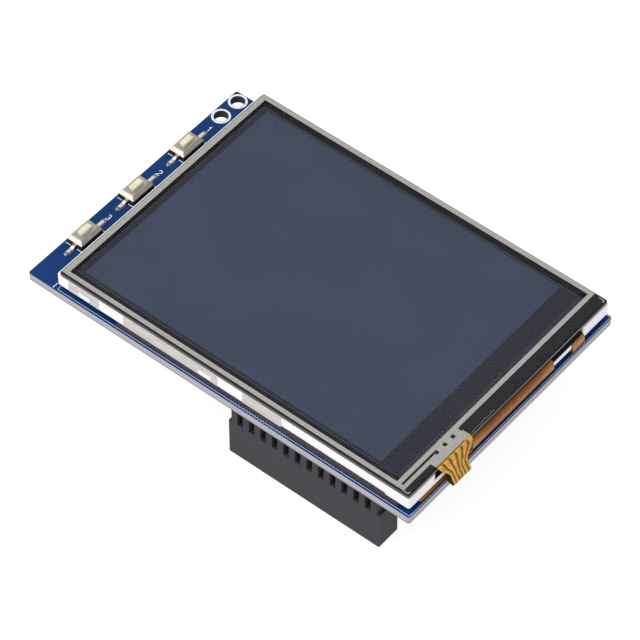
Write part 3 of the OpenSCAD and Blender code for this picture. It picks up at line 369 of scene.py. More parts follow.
# Double-sided spacer tape, seen through the film: dark grey
dress(grained("dark_spacer_tape", "#26262b", "#1e1e23", 0.5, (0.5, 0.62), Specular_IOR_Level=0.12),
      "touch_spacer")

# %% [markdown]
# ## Switches
# Each push-button is a black moulded base under a stamped steel cover, with an ivory key, a steel dome and
# two bent, tinned leads.

# %% Switches
# Stamped stainless sheet: the fine grain of the rolls, a little dull on the sloped sides
cover = grained("stamped_stainless_steel", "#b3aea4", "#9a958c", 0.25, (0.34, 0.5), 0.005, (1, 0.25, 1),
                Metallic=1.0)
# Moulded ivory nylon: warm, waxy, slightly cloudy
ivory = grained("moulded_ivory_nylon", "#e0dac0", "#d2cbaf", 0.9, (0.42, 0.56), 0.006,
                Specular_IOR_Level=0.3)
# Moulded black nylon: matt, with a fine spark texture
base = grained("moulded_black_nylon", "#242427", "#1a1a1d", 0.3, (0.5, 0.65), 0.006, Specular_IOR_Level=0.2)
# Cold-rolled spring steel: bright and smooth
spring = grained("cold_rolled_spring_steel", "#cacac8", "#b9b9b7", 0.3, (0.2, 0.3), 0.002, Metallic=1.0)
# Tin over copper alloy: bright, very slightly pink where it is thin
tinned = grained("tinned_copper_alloy", "#e2dcda", "#c9c1be", 0.3, (0.25, 0.4), 0.004, Metallic=1.0)
for k in SWITCHES:
    dress(cover, f"switch_{k}_shell")
    dress(ivory, f"switch_{k}_key")
    dress(base, f"switch_{k}_base")
    dress(tinned, f"switch_{k}_leads")

# %% [markdown]
# ## Chips under the board
# The logic chips are moulded in black epoxy, which comes out of the mould slightly sandy. The chip resistors
# carry a black glaze, and the capacitors are bare sintered ceramic.

# %% Chips
# Transfer-moulded epoxy: sandy and matt
epoxy = grained("moulded_black_epoxy", "#303033", "#252528", 0.15, (0.6, 0.75), 0.008, Specular_IOR_Level=0.3)
dress(epoxy, "logic_chips", "touch_controller", "regulator", "dimmer_transistor")
dress(tinned, "logic_chip_leads", "touch_controller_leads", "regulator_leads", "dimmer_transistor_leads",
      "chip_caps")
# Fired glaze over a film resistor: smooth and black
dress(grained("black_glazed_ceramic", "#26262a", "#1c1c20", 0.3, (0.3, 0.45), 0.003), "chip_resistors")
# Sintered barium titanate: tan, fine and dull
dress(grained("tan_sintered_ceramic", "#b89a72", "#a5875f", 0.3, (0.5, 0.65), 0.004), "chip_capacitors")

# %% [markdown]
# ## Surfaces from numpy
# The bent cables, the foam and the print are closed skins over a grid of points. Each row of the grid is a
# ring round the piece, and the rows follow one another along it. Working the points out as whole arrays
# keeps a shape to a line or two of formula, and the faces follow from the grid's numbering alone.

# %% From a grid of points to a closed skin
def unit(vectors):
    """Each vector over its own length."""
    return vectors / np.linalg.norm(vectors, axis=-1, keepdims=True)


def grid_faces(rows, columns, loop=False):
    """Quads that join rings of points, ring after ring: a point, its neighbour in the ring, and the two
    beside them in the next ring. With loop the last ring is joined to the first."""
    i = np.arange(rows if loop else rows - 1)[:, None]
    k = np.arange(columns)[None, :]
    after, beside = (i + 1) % rows, (k + 1) % columns
    corners = (i * columns + k, i * columns + beside, after * columns + beside, after * columns + k)
    return np.stack(np.broadcast_arrays(*corners), axis=-1).reshape(-1, 4)


def rungs(columns, start=0):
    """Quads that close a ring of an even number n of points: rung k joins point k to point n - 1 - k."""
    k = np.arange(columns // 2 - 1)
    return start + np.stack([k, k + 1, columns - 2 - k, columns - 1 - k], axis=-1)


def skin(rings, loop=False):
    """A closed skin over an array of rings. All its faces are turned over if they enclose a negative
    volume, which is the sum over their triangles (a, b, c) of a . (b x c) / 6."""
    rows, columns = rings.shape[:2]
    points = rings.reshape(-1, 3)
    faces = grid_faces(rows, columns, loop)
    if not loop:
        faces = np.vstack([faces, rungs(columns)[:, ::-1], rungs(columns, (rows - 1) * columns)])
    a, b, c, d = (points - points.mean(axis=0))[faces].transpose(1, 0, 2)
    volume = (a * (np.cross(b, c) + np.cross(c, d))).sum() / 6
    return points, faces if volume > 0 else faces[:, ::-1]


def join(skins):
    """Several skins as one: each one's faces are moved on by the number of points before it."""
    starts = np.cumsum([0] + [len(points) for points, faces in skins[:-1]])
    return (np.vstack([points for points, faces in skins]),
            np.vstack([faces + start for start, (points, faces) in zip(starts, skins)]))


# %% [markdown]
# A skin becomes an object once it has a finish and a body to ride on. Edges sharper than 35 degrees stay
# crisp.

# %% From a skin to an object
def piece(name, shape, material, body="board", replaces=(), run=None, sharp=35):
    """Makes an object from a skin in millimetres. It rides on a body, takes the finish it is given, and may
    replace CAD nodes. run gives each point a place along and across the piece, as UVs."""
    points, faces = shape
    mesh = bpy.data.meshes.new(name)
    mesh.from_pydata((points * MM).tolist(), [], faces.tolist())
    mesh.materials.append(material)
    if run is not None:
        corner = np.empty(len(mesh.loops), dtype=np.int32)
        mesh.loops.foreach_get("vertex_index", corner)
        mesh.uv_layers.new(name="run").data.foreach_set("uv", run[corner].ravel())
    mesh.shade_smooth()
    mesh.set_sharp_from_angle(angle=math.radians(sharp))
    item = bpy.data.objects.new(name, mesh)
    bpy.context.scene.collection.objects.link(item)
    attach(item, body)
    if replaces:
        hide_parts(*replaces)
    print(name, len(faces), "faces,", np.round(np.ptp(points, axis=0), 2), "mm")
    return item


# %% [markdown]
# ## Flex cables
# A flex cable is copper track between two films of amber polyimide, thin enough to fold. Each one is a
# sheet carried along a path in the XZ plane. The path is pieced together from arcs and straight runs and
# then cut into even steps, and the sheet's two long edges may move in or out along it. The place along and
# across the cable is kept as UVs, so that the tracks follow every bend.

# %% Paths and bent sheets
def arc(centre, radius, start, end, count=14):
    """Points on a circle from one angle to another, in degrees: centre + radius * (cos, sin)."""
    angle = np.radians(np.linspace(start, end, count))
    return np.array(centre) + radius * np.stack([np.cos(angle), np.sin(angle)], axis=1)


def even(path, step):
    """The same line cut into even steps: x and z are interpolated over the length run so far."""
    path = np.vstack(path)
    run = np.concatenate([[0], np.cumsum(np.linalg.norm(np.diff(path, axis=0), axis=1))])
    fine = np.linspace(0, run[-1], round(run[-1] / step) + 1)
    return np.stack([np.interp(fine, run, path[:, 0]), np.interp(fine, run, path[:, 1])], axis=1), fine


def sheet_along(path, run, near, far, thickness, columns=28):
    """Each ring goes along the upper side from the near edge to the far edge and back along the lower
    side. The two sides lie half the thickness off the path, along the path's normal (-dz, dx). The UVs
    are the millimetres along the path and the share across the sheet, plus 2 on the lower side."""
    along = unit(np.gradient(path, axis=0))
    normal = np.stack([-along[:, 1], along[:, 0]], axis=1)
    share = np.linspace(0, 1, columns)
    y = near[:, None] + (far - near)[:, None] * share
    sides = []
    for sign in (1, -1):
        place = path + sign * normal * thickness / 2
        x, z = np.repeat(place[:, :1], columns, 1), np.repeat(place[:, 1:], columns, 1)
        sides.append(np.stack([x, y, z], -1))
    rings = np.concatenate([sides[0], sides[1][:, ::-1]], axis=1)
    across = np.concatenate([share, 2 + share[::-1]])
    uv = np.stack([np.repeat(run[:, None], 2 * columns, 1), np.repeat(across[None, :], len(run), 0)], -1)
    return skin(rings), uv.reshape(-1, 2)


def ease(value):
    """0 below 0, 1 above 1, and 3 v^2 - 2 v^3 between them."""
    value = np.clip(value, 0, 1)
    return value * value * (3 - 2 * value)


# %% [markdown]
# The tracks are stripes across the sheet. A sine of the place across gives them, a slow noise makes them
# waver as the film creases, and the lower side is the bare back of the film. A second, darker colour lies
# over the first millimetres along the cable, where it is bonded, and fades into the rest: painted shade
# where the film starts under the panel.

# %% Printed flex film
STRIPE_SOFT = 0.35


def printed_flex(name, track, gap, back, root_shade, tracks, root_shade_run, waver=0.0, bare=0.5, glint=0.3,
                 ends=None):
    """tracks is the number of stripes over the width, bare the share of the pitch without copper, and the
    root colour lies over the first millimetres of the root run and fades into the rest: painted shade where
    the film starts under the panel. ends is a colour that creeps in over the last tenths at both long edges."""
    # Rolled copper under polyimide: amber over metal, satin, slightly rippled over each track
    material, tree, shader = start_material(name, Specular_IOR_Level=glint)
    spot = add(tree, "SeparateXYZ", {0: add(tree, "UVMap", uv_map="run").outputs[0]})
    along, share = spot.outputs["X"], spot.outputs["Y"]
    cloud = noise(tree, add(tree, "TexCoord").outputs["Object"], 0.9, 3)
    across = calc(tree, "ADD", share, spread(tree, cloud, -waver, waver))
    wave = calc(tree, "SINE", calc(tree, "MULTIPLY", across, tracks * math.tau))
    middle = bare * 2 - 1
    stripe = spread(tree, wave, 0.0, 1.0, From_Min=middle - STRIPE_SOFT, From_Max=middle + STRIPE_SOFT)
    front = mixed_colour(tree, stripe, linear(gap), linear(track))
    tone = tones(tree, cloud, (0.3, "#b4aca4"), (0.7, "#ffffff"))
    front = mixed_colour(tree, 0.8, front, tone, blend_type="MULTIPLY")
    if ends:
        off = calc(tree, "ABSOLUTE", calc(tree, "SUBTRACT", share, 0.5))
        creep = spread(tree, off, 0.0, 0.75, From_Min=0.3, From_Max=0.5)
        front = mixed_colour(tree, creep, front, linear(ends))
    # Painted shade: the start of the film takes the darker root colour, which fades along it
    fade = spread(tree, along, 0.85, 0.0, From_Min=root_shade_run * 0.5, From_Max=root_shade_run * 1.5)
    front = mixed_colour(tree, fade, front, linear(root_shade))
    lower = calc(tree, "GREATER_THAN", share, 1.5)
    feed(tree, shader, Base_Color=mixed_colour(tree, lower, front, linear(back)),
         Roughness=spread(tree, stripe, 0.5, 0.32), Normal=raised(tree, stripe, 0.02, 0.8))
    return material


# %% [markdown]
# The touch panel's tail leaves between glass and film, slopes down past the board's edge, folds back
# sharply, and is soldered under the display. It narrows to half its width before the fold. Its last
# stretch lies on the board.

# %% Tail of the touch panel
tail_low, tail_high = box_mm("touch_tail")
FILM_T, TAIL_R = 0.1, 0.45
TAIL_WIDE, TAIL_NARROW, TAIL_INSET = 9.1, 4.6, 1.6
film_z = box_mm("touch_bars")[0][2] + FILM_T / 2
top = np.array([touch_high[0] + 0.1, film_z - TAIL_R])
fold = np.array([tail_high[0] - TAIL_R - FILM_T / 2, board_top - 0.2 + TAIL_R])
back = np.array([lcd_high[0] - 0.35, board_top + 0.4])
slope = math.degrees(math.atan2(top[1] - fold[1], fold[0] - top[0]))
rise = math.degrees(math.atan2(back[1] - fold[1] + TAIL_R, fold[0] - back[0]))
on_board = board_top + FILM_T / 2
tail_path, tail_run = even([
    [[touch_high[0] - 0.3, film_z]], arc(top, TAIL_R, 90, 90 - slope),
    arc(fold, TAIL_R, 90 - slope, -90 - rise, 24), [back], [[touch_high[0] - 2.4, back[1]]],
    [[touch_high[0] - 4.6, on_board]], [[touch_high[0] - 6.8, on_board]]], 0.08)
narrow = ease((tail_run - 0.4) / 3.0)
tail_near = tail_low[1] + TAIL_INSET * narrow
tail_far = tail_low[1] + TAIL_WIDE + (TAIL_INSET + TAIL_NARROW - TAIL_WIDE) * narrow
tail, tail_uv = sheet_along(tail_path, tail_run, tail_near, tail_far, FILM_T, 40)
# The duller gold root colour is painted shade where the tail comes out from between glass and film
tail_film = printed_flex("gold_tracks_in_polyimide", "#eaa93a", "#65592a", "#4d4726", "#b98a3e", 5.6, 0.4,
                         waver=0.055, bare=0.37)
piece("touch_tail_film", tail, tail_film, replaces=["touch_tail"], run=tail_uv)

# %% [markdown]
# The display's own cable is wide and brown. It is bonded along the glass, rolls over the frame's end and
# runs back under the display to the board. A wing of it reaches out towards the near side.

# %% Cable of the display
flex_low, flex_high = box_mm("lcd_flex")
CABLE_T, CABLE_R, CABLE_W = 0.12, 0.7, 22.5
rear_glass_high = box_mm("rear_glass")[1]
bond_z = rear_glass_high[2] + CABLE_T / 2
wing_z = board_top + 0.7
on_board = board_top + CABLE_T / 2
roll_x = lcd_high[0] - CABLE_R / 2
cable_path, cable_run = even([
    [[rear_glass_high[0] - 1.1, bond_z]], arc((roll_x, bond_z - CABLE_R), CABLE_R, 90, 0),
    arc((roll_x, wing_z + CABLE_R), CABLE_R, 0, -90), [[lcd_high[0] - 8, wing_z]],
    [[lcd_high[0] - 10.2, on_board]], [[lcd_high[0] - 12.4, on_board]]], 0.1)
whole = np.ones(len(cable_run))
cable, cable_uv = sheet_along(cable_path, cable_run, whole * (flex_high[1] - CABLE_W),
                              whole * flex_high[1], CABLE_T, 46)
wing_path, wing_run = even([[[roll_x - 1.65, wing_z]], [[lcd_high[0] + 0.3, wing_z]]], 0.1)
whole = np.ones(len(wing_run))
wing, wing_uv = sheet_along(wing_path, wing_run + 4, whole * flex_low[1],
                            whole * (flex_high[1] - CABLE_W + 0.1), CABLE_T, 30)
# The near-black root colour is painted shade where the cable starts under the panel's edge
cable_film = printed_flex("brown_polyimide_flex", "#b3682b", "#955420", "#8a5a2a", "#2b1c17", 60, 2.1,
                          waver=0.002, bare=0.35, glint=0.2, ends="#bd8428")
piece("display_cable", join([cable, wing]), cable_film, replaces=["lcd_flex"],
      run=np.vstack([cable_uv, wing_uv]))

# %% [markdown]
# The backlight's narrow tail is a plain orange flex whose tracks are meshed, which shows as slanting ribs.
# Its solid has the right shape, so it only needs a finish: a sine along a slanted line on the object.

# %% Ribbed tail of the backlight
RIB_STEP = 0.6


def ribbed_flex():
    # Polyimide over a copper mesh: orange, with slanting ribs
    material, tree, shader = start_material("ribbed_orange_flex", Specular_IOR_Level=0.3)
    place = add(tree, "TexCoord").outputs["Object"]
    slant = add(tree, "VectorMath", {0: place, 1: (0.8, 1.0, -0.8)}, operation="DOT_PRODUCT")
    turn = calc(tree, "MULTIPLY", slant.outputs["Value"], math.tau / (RIB_STEP * MM))
    rib = spread(tree, calc(tree, "SINE", turn), 0.0, 1.0, From_Min=-0.4, From_Max=0.6)
    feed(tree, shader, Base_Color=mixed_colour(tree, rib, linear("#77481f"), linear("#cf8c38")),
         Roughness=spread(tree, rib, 0.5, 0.3), Normal=raised(tree, rib, 0.03, 0.8))
    return material


dress(ribbed_flex(), "backlight_flex")

# %% [markdown]
# ## Snap domes
# Under each key lies a thin steel dome that clicks flat when the key goes down. It is a shallow bowl turned
# round its own axis, with a small hole in the middle.

# %% Snap domes
DOME_T, DOME_HOLE = 0.05, 0.12


def dome(low, high):
    """A bowl turned round z: at radius r the upper side stands at rise * (1 - (r / rim) ** 2) over the
    rim, and the lower side a sheet's thickness below it. Each ring is one cut through the sheet."""
    rim, rise = (high[0] - low[0]) / 2, high[2] - low[2] - DOME_T
    radius = np.linspace(DOME_HOLE, rim, 12)
    height = low[2] + rise * (1 - (radius / rim) ** 2)
    across = np.concatenate([radius, radius[::-1]])
    up = np.concatenate([height + DOME_T, height[::-1]])
    turn = np.linspace(0, math.tau, 40, endpoint=False)[:, None]
    x, y = (low[:2] + high[:2]) / 2
    rings = np.stack(np.broadcast_arrays(x + across * np.cos(turn), y + across * np.sin(turn), up), axis=-1)
    return skin(rings, loop=True)


for k in SWITCHES:
    low, high = box_mm(f"switch_{k}_dome")
    item = piece(f"snap_dome_{k}", dome(low, high), spring,
                 replaces=[f"switch_{k}_dome"])
    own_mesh(item)

# %% [markdown]
# ## Foam tape
# Two strips of grey-brown foam tape carry the display. They were slit with a blade, so their long sides are
# rough and full of open pores. Each strip is a ring of points carried along its length. A sum of waves of
# many lengths and directions pushes its sides in by a few hundredths of a millimetre, and the finish adds
# the pores that are finer than the grid. The near strip is hollow below, over the socket's soldered pins.
# A thin dark lip of its skin stands up along part of the frame's side: painted shade, standing for the
# shadow line under the frame.

# %% Foam tape
def waves(a, b, count=26, seed=5):
    """A sum of sine waves over (a, b), between 0 and 1: each has its own direction, a length between
    0.35 and 3 units and a start, all drawn from a seeded generator."""
    draw = np.random.default_rng(seed)
    angle, start = draw.uniform(0, math.tau, (2, count))
    turns = math.tau / np.geomspace(0.35, 3, count)
    along = a[..., None] * np.cos(angle) + b[..., None] * np.sin(angle)
    total = np.sin(along * turns + start).sum(axis=-1) / math.sqrt(count)
    return np.clip(0.5 + 0.35 * total, 0, 1)


def foam_strip(low, high, seed, hollow=None, pore=0.07):
    """Rings in the YZ plane, one every 0.25 mm: under the strip, up its near side, over it and down its
    far side. Both sides move in by up to `pore`. Where hollow = (x, y, lift) holds a point of the
    underside, within x and y of the middle of the frame, it is lifted."""
    x = np.linspace(low[0], high[0], round((high[0] - low[0]) / 0.25) + 1)
    over, up = np.linspace(0, 1, 30), np.linspace(0, 1, 9)[1:-1]
    y_share = np.concatenate([over[::-1], 0 * up, over, 0 * up + 1])
    z_share = np.concatenate([0 * over, up, 0 * over + 1, up[::-1]])
    x_grid, y_share = np.broadcast_arrays(x[:, None], y_share[None, :])
    z_share = np.broadcast_to(z_share, x_grid.shape)
    width, height = high[1] - low[1], high[2] - low[2]
    push = pore * waves(x_grid, z_share * height, seed=seed)
    side = np.where(y_share == 0, 1, 0) - np.where(y_share == 1, 1, 0)
    y = low[1] + y_share * width + side * push
    z = low[2] + z_share * height
    if hollow:
        inside = (np.abs(x_grid) < hollow[0]) & (np.abs(y) < hollow[1]) & (z_share == 0)
        z = z + hollow[2] * inside
    return skin(np.stack([x_grid, y, z], axis=-1))


# Slit closed-cell foam: dark grey-brown, dull, with pale torn cell walls
foam = grained("slit_closed_cell_foam", "#5f5b5f", "#19181b", 0.24, (0.9, 1.0), 0.09, detail=5,
               Specular_IOR_Level=0.08)
near_low, near_high = box_mm("foam_tape_front")
far_low, far_high = box_mm("foam_tape_rear")
near_strip = foam_strip(near_low, near_high, 5, hollow=(16.7, 2.4, 0.5))
# The lip is a thin dark sheet of foam skin before the frame's lower edge: painted shade for the shadow line
# under the frame
SHADE_LIP_FROM, SHADE_LIP_TO, SHADE_LIP_T, SHADE_LIP_RINGS = 56.7, 79, 0.085, 90
shade_lip_x = np.linspace(board_low[0] + SHADE_LIP_FROM, board_low[0] + SHADE_LIP_TO, SHADE_LIP_RINGS)
shade_lip_top = near_high[2] + 0.34 + 0.1 * waves(shade_lip_x, 0 * shade_lip_x, seed=9)
shade_lip_y = near_low[1] + np.array([0, 0, SHADE_LIP_T, SHADE_LIP_T])
shade_lip_z = np.stack([0 * shade_lip_top + near_high[2] - 0.3, shade_lip_top, shade_lip_top,
                  0 * shade_lip_top + near_high[2] + 0.01], axis=1)
shade_lip_grid = np.stack([np.repeat(shade_lip_x[:, None], 4, 1), np.repeat(shade_lip_y[None, :], SHADE_LIP_RINGS, 0), shade_lip_z],
                    axis=-1)
piece("near_foam_strip", join([near_strip, skin(shade_lip_grid)]), foam,
                replaces=["foam_tape_front"])
piece("far_foam_strip", foam_strip(far_low, far_high, 6), foam,
                replaces=["foam_tape_rear"])

# %% [markdown]
# ## Tape over the cables
# A strip of black tape covers the low end wall between the two posts, and climbs over the backlight's
# tail where that passes. Its height along the wall is a smooth step up and a smooth step down.

# %% Black tape on the end wall
POST_W, TAPE_RINGS = 6.7, 220
wall_top = box_mm("diffuser")[0][2]
post = POST_W + 0.45
tape_y = np.linspace(lcd_low[1] + post, lcd_high[1] - post, TAPE_RINGS)
climb_end = lcd_high[1] - POST_W - 0.6
climb = ease((tape_y - climb_end + 3.9) / 0.5) * ease((climb_end + 0.45 - tape_y) / 0.35)
tape_bottom = wall_top + 0.01 + 0.1 * climb
tape_x = lcd_high[0] + np.array([-1.75, -1.75, -0.12, -0.12])
tape_z = tape_bottom[:, None] + np.array([0, 0.06, 0.06, 0])
tape_grid = np.stack([np.repeat(tape_x[None, :], TAPE_RINGS, 0), np.repeat(tape_y[:, None], 4, 1),
                      tape_z], axis=-1)
piece("end_wall_tape", skin(tape_grid), black_tape)

# %% [markdown]
# ## Lines with a width
# Print, tracks and the ground rim of the glass are all lines with a width and a height. Each point of the
# line moves sideways by half the width along the line's normal. Where the line turns by an angle t, the
# shift grows to 1 / cos(t / 2), so that the strip keeps its width round the corner.

# %% Lines with a width
def drawn(line, width, low, high, loop=False):
    """A closed strip of four-point rings between the heights low and high, along points (x, y)."""
    line = np.array(line, dtype=float)
    if loop:
        before, after = np.roll(line, 1, axis=0), np.roll(line, -1, axis=0)
    else:
        before = np.vstack([2 * line[0] - line[1], line[:-1]])
        after = np.vstack([line[1:], 2 * line[-1] - line[-2]])
    into, out = unit(line - before), unit(after - line)
    middle = unit(into + out)
    share = np.maximum((middle * into).sum(axis=1, keepdims=True), 0.45)
    side = np.stack([-middle[:, 1], middle[:, 0]], axis=1) / share * width / 2
    left, right = line + side, line - side
    rings = np.stack([right, right, left, left], axis=1)
    z = np.broadcast_to(np.array([low, high, high, low])[None, :, None], rings.shape[:2] + (1,))
    return skin(np.concatenate([rings, z], axis=-1), loop)


def rounded(low, high, radius, count=7):
    """A rectangle's outline with quarter circles for corners."""
    inner_low, inner_high = np.array(low) + radius, np.array(high) - radius
    corners = [(inner_high[0], inner_high[1], 0), (inner_low[0], inner_high[1], 90),
               (inner_low[0], inner_low[1], 180), (inner_high[0], inner_low[1], 270)]
    return np.vstack([arc((x, y), radius, a, a + 90, count) for x, y, a in corners])


# %% [markdown]
# The touch panel's glass was cut and left with a ground rim, which shows as a thin brown-grey band round the
# panel. Its pale specks are painted glints of the fine chips.

# %% Ground rim of the glass
# Ground glass edge: brown-grey, with pale specks that are painted glints of its fine chips
ground_edge_and_glints = grained("ground_glass_edge_painted_glints", "#766d64", "#36312c", 0.12, (0.3, 0.7), 0.03, detail=5)
rim_line = rounded(touch_low[:2], touch_high[:2], 0.3)
piece("ground_glass_rim", drawn(rim_line, 0.04, touch_low[2] + 0.01, touch_high[2] - 0.02, loop=True),
      ground_edge_and_glints)

# %% [markdown]
# Beside the tail a bead of adhesive was squeezed out under the film. It wanders along the edge, and its
# pale patches are painted glints.

# %% Bead of adhesive with painted glints
# Cured clear adhesive, drawn mid to dark grey, with bright patches that are painted glints
bead_glints = grained("squeezed_adhesive_painted_glints", "#7f8286", "#333539", 0.35, (0.15, 0.5), 0.02, detail=4)
film_high = box_mm("touch_film")[1]
run = np.linspace(0, 1, 70)
wander = 0.1 * np.sin(19 * run) + 0.06 * np.sin(47 * run + 1)
bead_line = np.stack([touch_high[0] - 0.26 + wander, box_mm("touch_tail")[1][1] + 0.2 + 6.5 * run], axis=1)
piece("adhesive_bead_glints", drawn(bead_line, 0.09, film_high[2] - 0.06, film_high[2] - 0.015), bead_glints)

# %% [markdown]
# The polarizer is cut from a laminated sheet. Under the glass a pale hair line is drawn along its cut edge,
# between the black gasket and the dark border of the field: a painted highlight where the edge catches light.

# %% Painted highlight on the polarizer's cut edge
# Painted highlight along the polarizer's cut laminate edge: pale purple-grey and dull
edge_highlight = grained("polarizer_edge_highlight", "#6d6a73", "#55525b", 1.2, (0.5, 0.7), 0.002, Specular_IOR_Level=0.1)
polarizer_low, polarizer_high = box_mm("front_polarizer")
edge_line = rounded(polarizer_low[:2] + 0.03, polarizer_high[:2] - 0.03, 0.2)
edge_strip = drawn(edge_line, 0.1, polarizer_high[2] - 0.1, polarizer_high[2] + 0.01, loop=True)
# A pale ring over the polarizer's edge: painted highlight
piece("polarizer_edge_painted_highlight", edge_strip, edge_highlight)

# %% [markdown]
# ## Print on the board
# White epoxy ink marks the display's outline, the places of the switches and their numbers. The numbers
# are strokes too: straight runs and arcs in a box 0.7 mm wide and 1.2 mm high.

# %% Print on the board
PRINT_W, FINE_W, OUTLINE_W, RING_W, RING_R, INK_T = 0.17, 0.13, 0.12, 0.42, 1.6, 0.02
HATCH_START, HATCH_STEP, HATCH_COUNT = 46, 0.6, 20
STROKES = {
    1: [[(0.12, 0.92), (0.4, 1.2), (0.4, 0.0)]],
    2: [np.vstack([arc((0.35, 0.86), 0.34, 165, -35, 9), [(0.02, 0.0), (0.72, 0.0)]])],
    3: [np.vstack([arc((0.34, 0.9), 0.3, 150, -80, 9), arc((0.34, 0.32), 0.33, 80, -150, 9)])],
}
origin = board_low[:2]
switch_places = [(sum(box_mm(f"switch_{k}_base")) / 2)[:2] - origin for k in SWITCHES]


def printed(lines, z_low, z_high, width=PRINT_W, loop=False):
    """Lines given from the board's corner, drawn between two heights."""
    return [drawn(np.array(line) + origin, width, z_low, z_high, loop) for line in lines]


board_w = board_high[1] - board_low[1]
board_l = board_high[0] - board_low[0]
over, under = (board_top, board_top + INK_T), (board_low[2] - INK_T, board_low[2])
marks = [[(5.6, 0.2), (5.6, 1.5)]]
hatch = [[(HATCH_START + HATCH_STEP * i, 0.16), (HATCH_START + 0.35 + HATCH_STEP * i, 0.62)]
         for i in range(HATCH_COUNT)]
for k, (x, y) in zip(SWITCHES, switch_places):
    marks += [[(0.4, y - 2.95), (1.5, y - 2.95)], [(3.0, y - 2.95), (4.3, y - 2.95)],
              [(3.6, y + 3.2), (4.2, y + 3.2)]]
    marks += [np.array(stroke) + (x - 0.3, y + 5.6) for stroke in STROKES[k]]
top_print = printed(marks, *over)
rings = [arc((x - origin[0], y - origin[1]), RING_R, 0, 350, 36) for x, y in hole_places]
top_print += printed(rings, *over, width=RING_W, loop=True)
# Screen-printed epoxy ink: white and dull, with ragged edges too fine to see
ink = grained("white_epoxy_ink", "#eceef2", "#c8ccd6", 0.3, (0.6, 0.8), 0.004, Specular_IOR_Level=0.3)
piece("print_above", join(top_print), ink)
# The outline and the hatch are fine lines, where the ink lies so thin that the blue shows through
thin_ink = grained("thin_epoxy_ink", "#bccbe6", "#8ea6d0", 0.3, (0.6, 0.8), 0.004, Specular_IOR_Level=0.3)
fine_print = printed(hatch, *over, width=FINE_W)
outline = rounded((6.5, 0.4), (board_l - 0.24, board_w - 0.24), 0.2)
fine_print += printed([outline], *over, width=OUTLINE_W, loop=True)
piece("fine_print_above", join(fine_print), thin_ink)

# %% [markdown]
# Under the board, tracks fan out from the socket's pins to the logic chips, and more print frames the
# chips. A track under the mask is the mask's own blue, a little lighter, and stands up by its own
# thickness.

# %% Tracks and print below
PITCH, PINS, CHIP_STEP, TRACK_T = 2.54, 13, 13, 0.03
pin_x = np.linspace(-6, 6, PINS) * PITCH - origin[0]
chips_low, chips_high = box_mm("logic_chips")
goal_x = np.linspace(chips_low[0], chips_high[0], PINS) - origin[0]
start_y, end_y = 6.4, chips_low[1] - origin[1] - 1.2
tracks = []
for i, (x, goal) in enumerate(zip(pin_x, goal_x)):
    turn_y = 7.4 + 0.45 * (PINS - 1 - i)
    slant_end = turn_y + 0.35 * abs(goal - x)
    tracks.append([(x, start_y), (x, turn_y), (goal, slant_end), (goal, end_y + 0.001 * i)])
masked_copper = grained("mask_over_copper_track", "#2c5a9c", "#244f8e", 2.0, (0.3, 0.42), 0.002,
                        Specular_IOR_Level=0.16)
reaching = [line for line in tracks if line[2][1] < line[3][1] - 0.3]
tracks_below = printed(reaching, board_low[2] - TRACK_T, board_low[2], width=0.3)
piece("tracks_below", join(tracks_below), masked_copper)
frame_y = chips_low[1] - origin[1] - 0.35, chips_high[1] - origin[1] + 0.35
chip_frames = [rounded((x - 2.1, frame_y[0]), (x + 2.1, frame_y[1]), 0.2)
               for x in (chips_low[0] - origin[0] + 1.95 + CHIP_STEP * np.arange(3))]
socket_low, socket_high = box_mm("header_housing")
chip_frames.append(rounded(socket_low[:2] - origin - 0.3, socket_high[:2] - origin + 0.3, 0.2))
piece("print_below", join(printed(chip_frames, *under, loop=True)), ink)

# %% [markdown]
# ## Floor, light and camera
# The floor is plain white paper. It would take a lot of light to bring paper up to pure white, and the pale
# frame would wash out with it, so the paper glows a little where the camera, a mirror or clear plastic sees
# it, and less where it lights the object from below. The rest of its brightness comes from the lamps, so the
# object still casts a faint shadow. From below the paper is clear, so that the underside can be looked at.

# %% Floor
def strength_by_ray(tree, lighting, seen):
    """One strength where the camera, a mirror or clear plastic sees it, another where it lights."""
    path = add(tree, "LightPath")
    direct = calc(tree, "MAXIMUM", path.outputs["Is Camera Ray"], path.outputs["Is Glossy Ray"])
    direct = calc(tree, "MAXIMUM", direct, path.outputs["Is Transmission Ray"])
    return spread(tree, direct, lighting, seen)


def make_floor(half_side=3000, gap=0.2):
    corners = np.array([[-1, -1, 0], [1, -1, 0], [1, 1, 0], [-1, 1, 0]]) * half_side * MM
    corners[:, 2] = cad_box[0][2] - gap * MM
    mesh = bpy.data.meshes.new("floor")
    mesh.from_pydata(corners.tolist(), [], [(0, 1, 2, 3)])
    floor = bpy.data.objects.new("floor", mesh)
    bpy.context.scene.collection.objects.link(floor)
    # Plain matt paper, with a glow of its own
    material, tree, shader = start_material("white_studio_paper", Roughness=0.9, Specular_IOR_Level=0.0,
                                            Base_Color=linear("#909090"), Emission_Color=(1, 1, 1, 1))
    feed(tree, shader, Emission_Strength=strength_by_ray(tree, 0.4, 0.85))
    behind = add(tree, "NewGeometry").outputs["Backfacing"]
    clear = add(tree, "BsdfTransparent").outputs[0]
    two_sided = add(tree, "MixShader", {0: behind, 1: shader.outputs[0], 2: clear})
    tree.links.new(two_sided.outputs[0], tree.nodes["Material Output"].inputs["Surface"])
    material.cycles.emission_sampling = "NONE"  # seen, but never aimed at as a lamp: less grain
    mesh.materials.append(material)
    print("floor at", round(corners[0, 2] / MM, 2), "mm")


make_floor()

# %% [markdown]
# Soft light comes from all round, as in a tent of white cloth, and two large lamps give it a direction. A
# wide lamp softens edges, because each point sees it from many sides. Power is set so that a colour renders
# about as it is written.

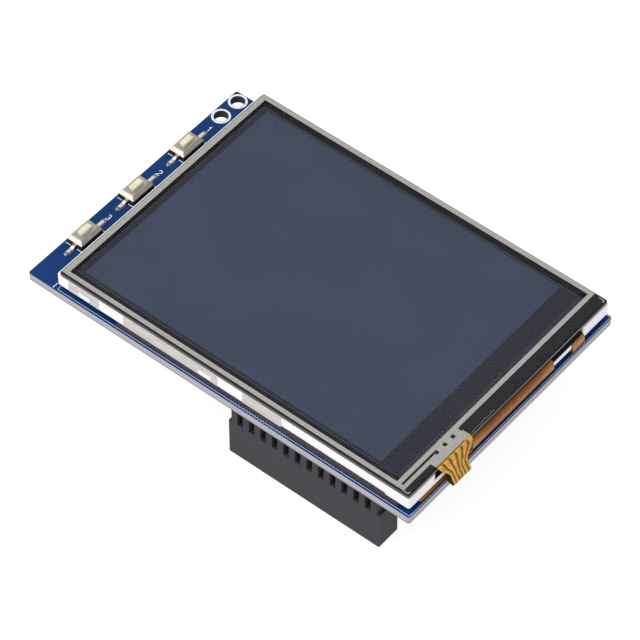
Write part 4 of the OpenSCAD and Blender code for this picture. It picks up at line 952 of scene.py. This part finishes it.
# %% World and lamps
def from_object(azimuth, elevation):
    """The direction from the object, in degrees: azimuth 0 is towards -Y and 90 towards +X."""
    a, e = math.radians(azimuth), math.radians(elevation)
    return Vector((math.sin(a) * math.cos(e), -math.cos(a) * math.cos(e), math.sin(e)))


def make_world():
    world = bpy.data.worlds.new("studio")
    world.use_nodes = True
    background = world.node_tree.nodes["Background"]
    background.inputs["Color"].default_value = (1, 1, 1, 1)
    feed(world.node_tree, background, Strength=strength_by_ray(world.node_tree, 0.72, 1.0))
    bpy.context.scene.world = world


def make_lamp(name, azimuth, elevation, distance, size, power):
    """A square area lamp, aimed at the middle of the board from its azimuth and elevation."""
    lamp = bpy.data.lights.new(name, "AREA")
    lamp.size = size
    lamp.energy = power
    item = bpy.data.objects.new(name, lamp)
    away = from_object(azimuth, elevation)
    middle = Vector((board_low + board_high) / 2) * MM
    item.location = middle + away * distance
    item.rotation_euler = away.to_track_quat("Z", "Y").to_euler()
    bpy.context.scene.collection.objects.link(item)
    print(name, power, "W at", distance, "m")


make_world()
make_lamp("key_lamp", -40, 55, 1.2, 0.9, 7.0)
make_lamp("fill_lamp", 72, 32, 1.4, 1.0, 4.6)
make_lamp("low_front_lamp", -27, 27, 1.3, 0.5, 3.2)

# %% [markdown]
# The camera looks down on the board's corner from some way off with a long lens, so that parallel edges
# stay nearly parallel.

# %% Camera
# Angles in degrees, and the distance, the aim off the board's middle and the lens in millimetres
CAMERA_AZIMUTH, CAMERA_ELEVATION, CAMERA_ROLL = 39.19, 49.83, 0.14
CAMERA_AWAY, CAMERA_AIM, CAMERA_LENS = 675.69, (3.77, -4.30), 220.345


def make_camera():
    """Looks at a point on the board's top face, a little off its middle."""
    away = from_object(CAMERA_AZIMUTH, CAMERA_ELEVATION)
    middle = (board_low + board_high) / 2
    target = Vector((middle[0] + CAMERA_AIM[0], middle[1] + CAMERA_AIM[1], board_top)) * MM
    camera = bpy.data.cameras.new("camera")
    camera.lens = CAMERA_LENS
    camera.sensor_width = 36
    camera.clip_end = 20
    item = bpy.data.objects.new("camera", camera)
    item.location = target + away * CAMERA_AWAY * MM
    roll = Matrix.Rotation(math.radians(CAMERA_ROLL), 3, "Z")
    item.rotation_euler = (away.to_track_quat("Z", "Y").to_matrix() @ roll).to_euler()
    bpy.context.scene.collection.objects.link(item)
    bpy.context.scene.camera = item
    print("camera", round((item.location - target).length, 3), "m from its target")


make_camera()
bpy.context.scene.view_settings.view_transform = "Standard"
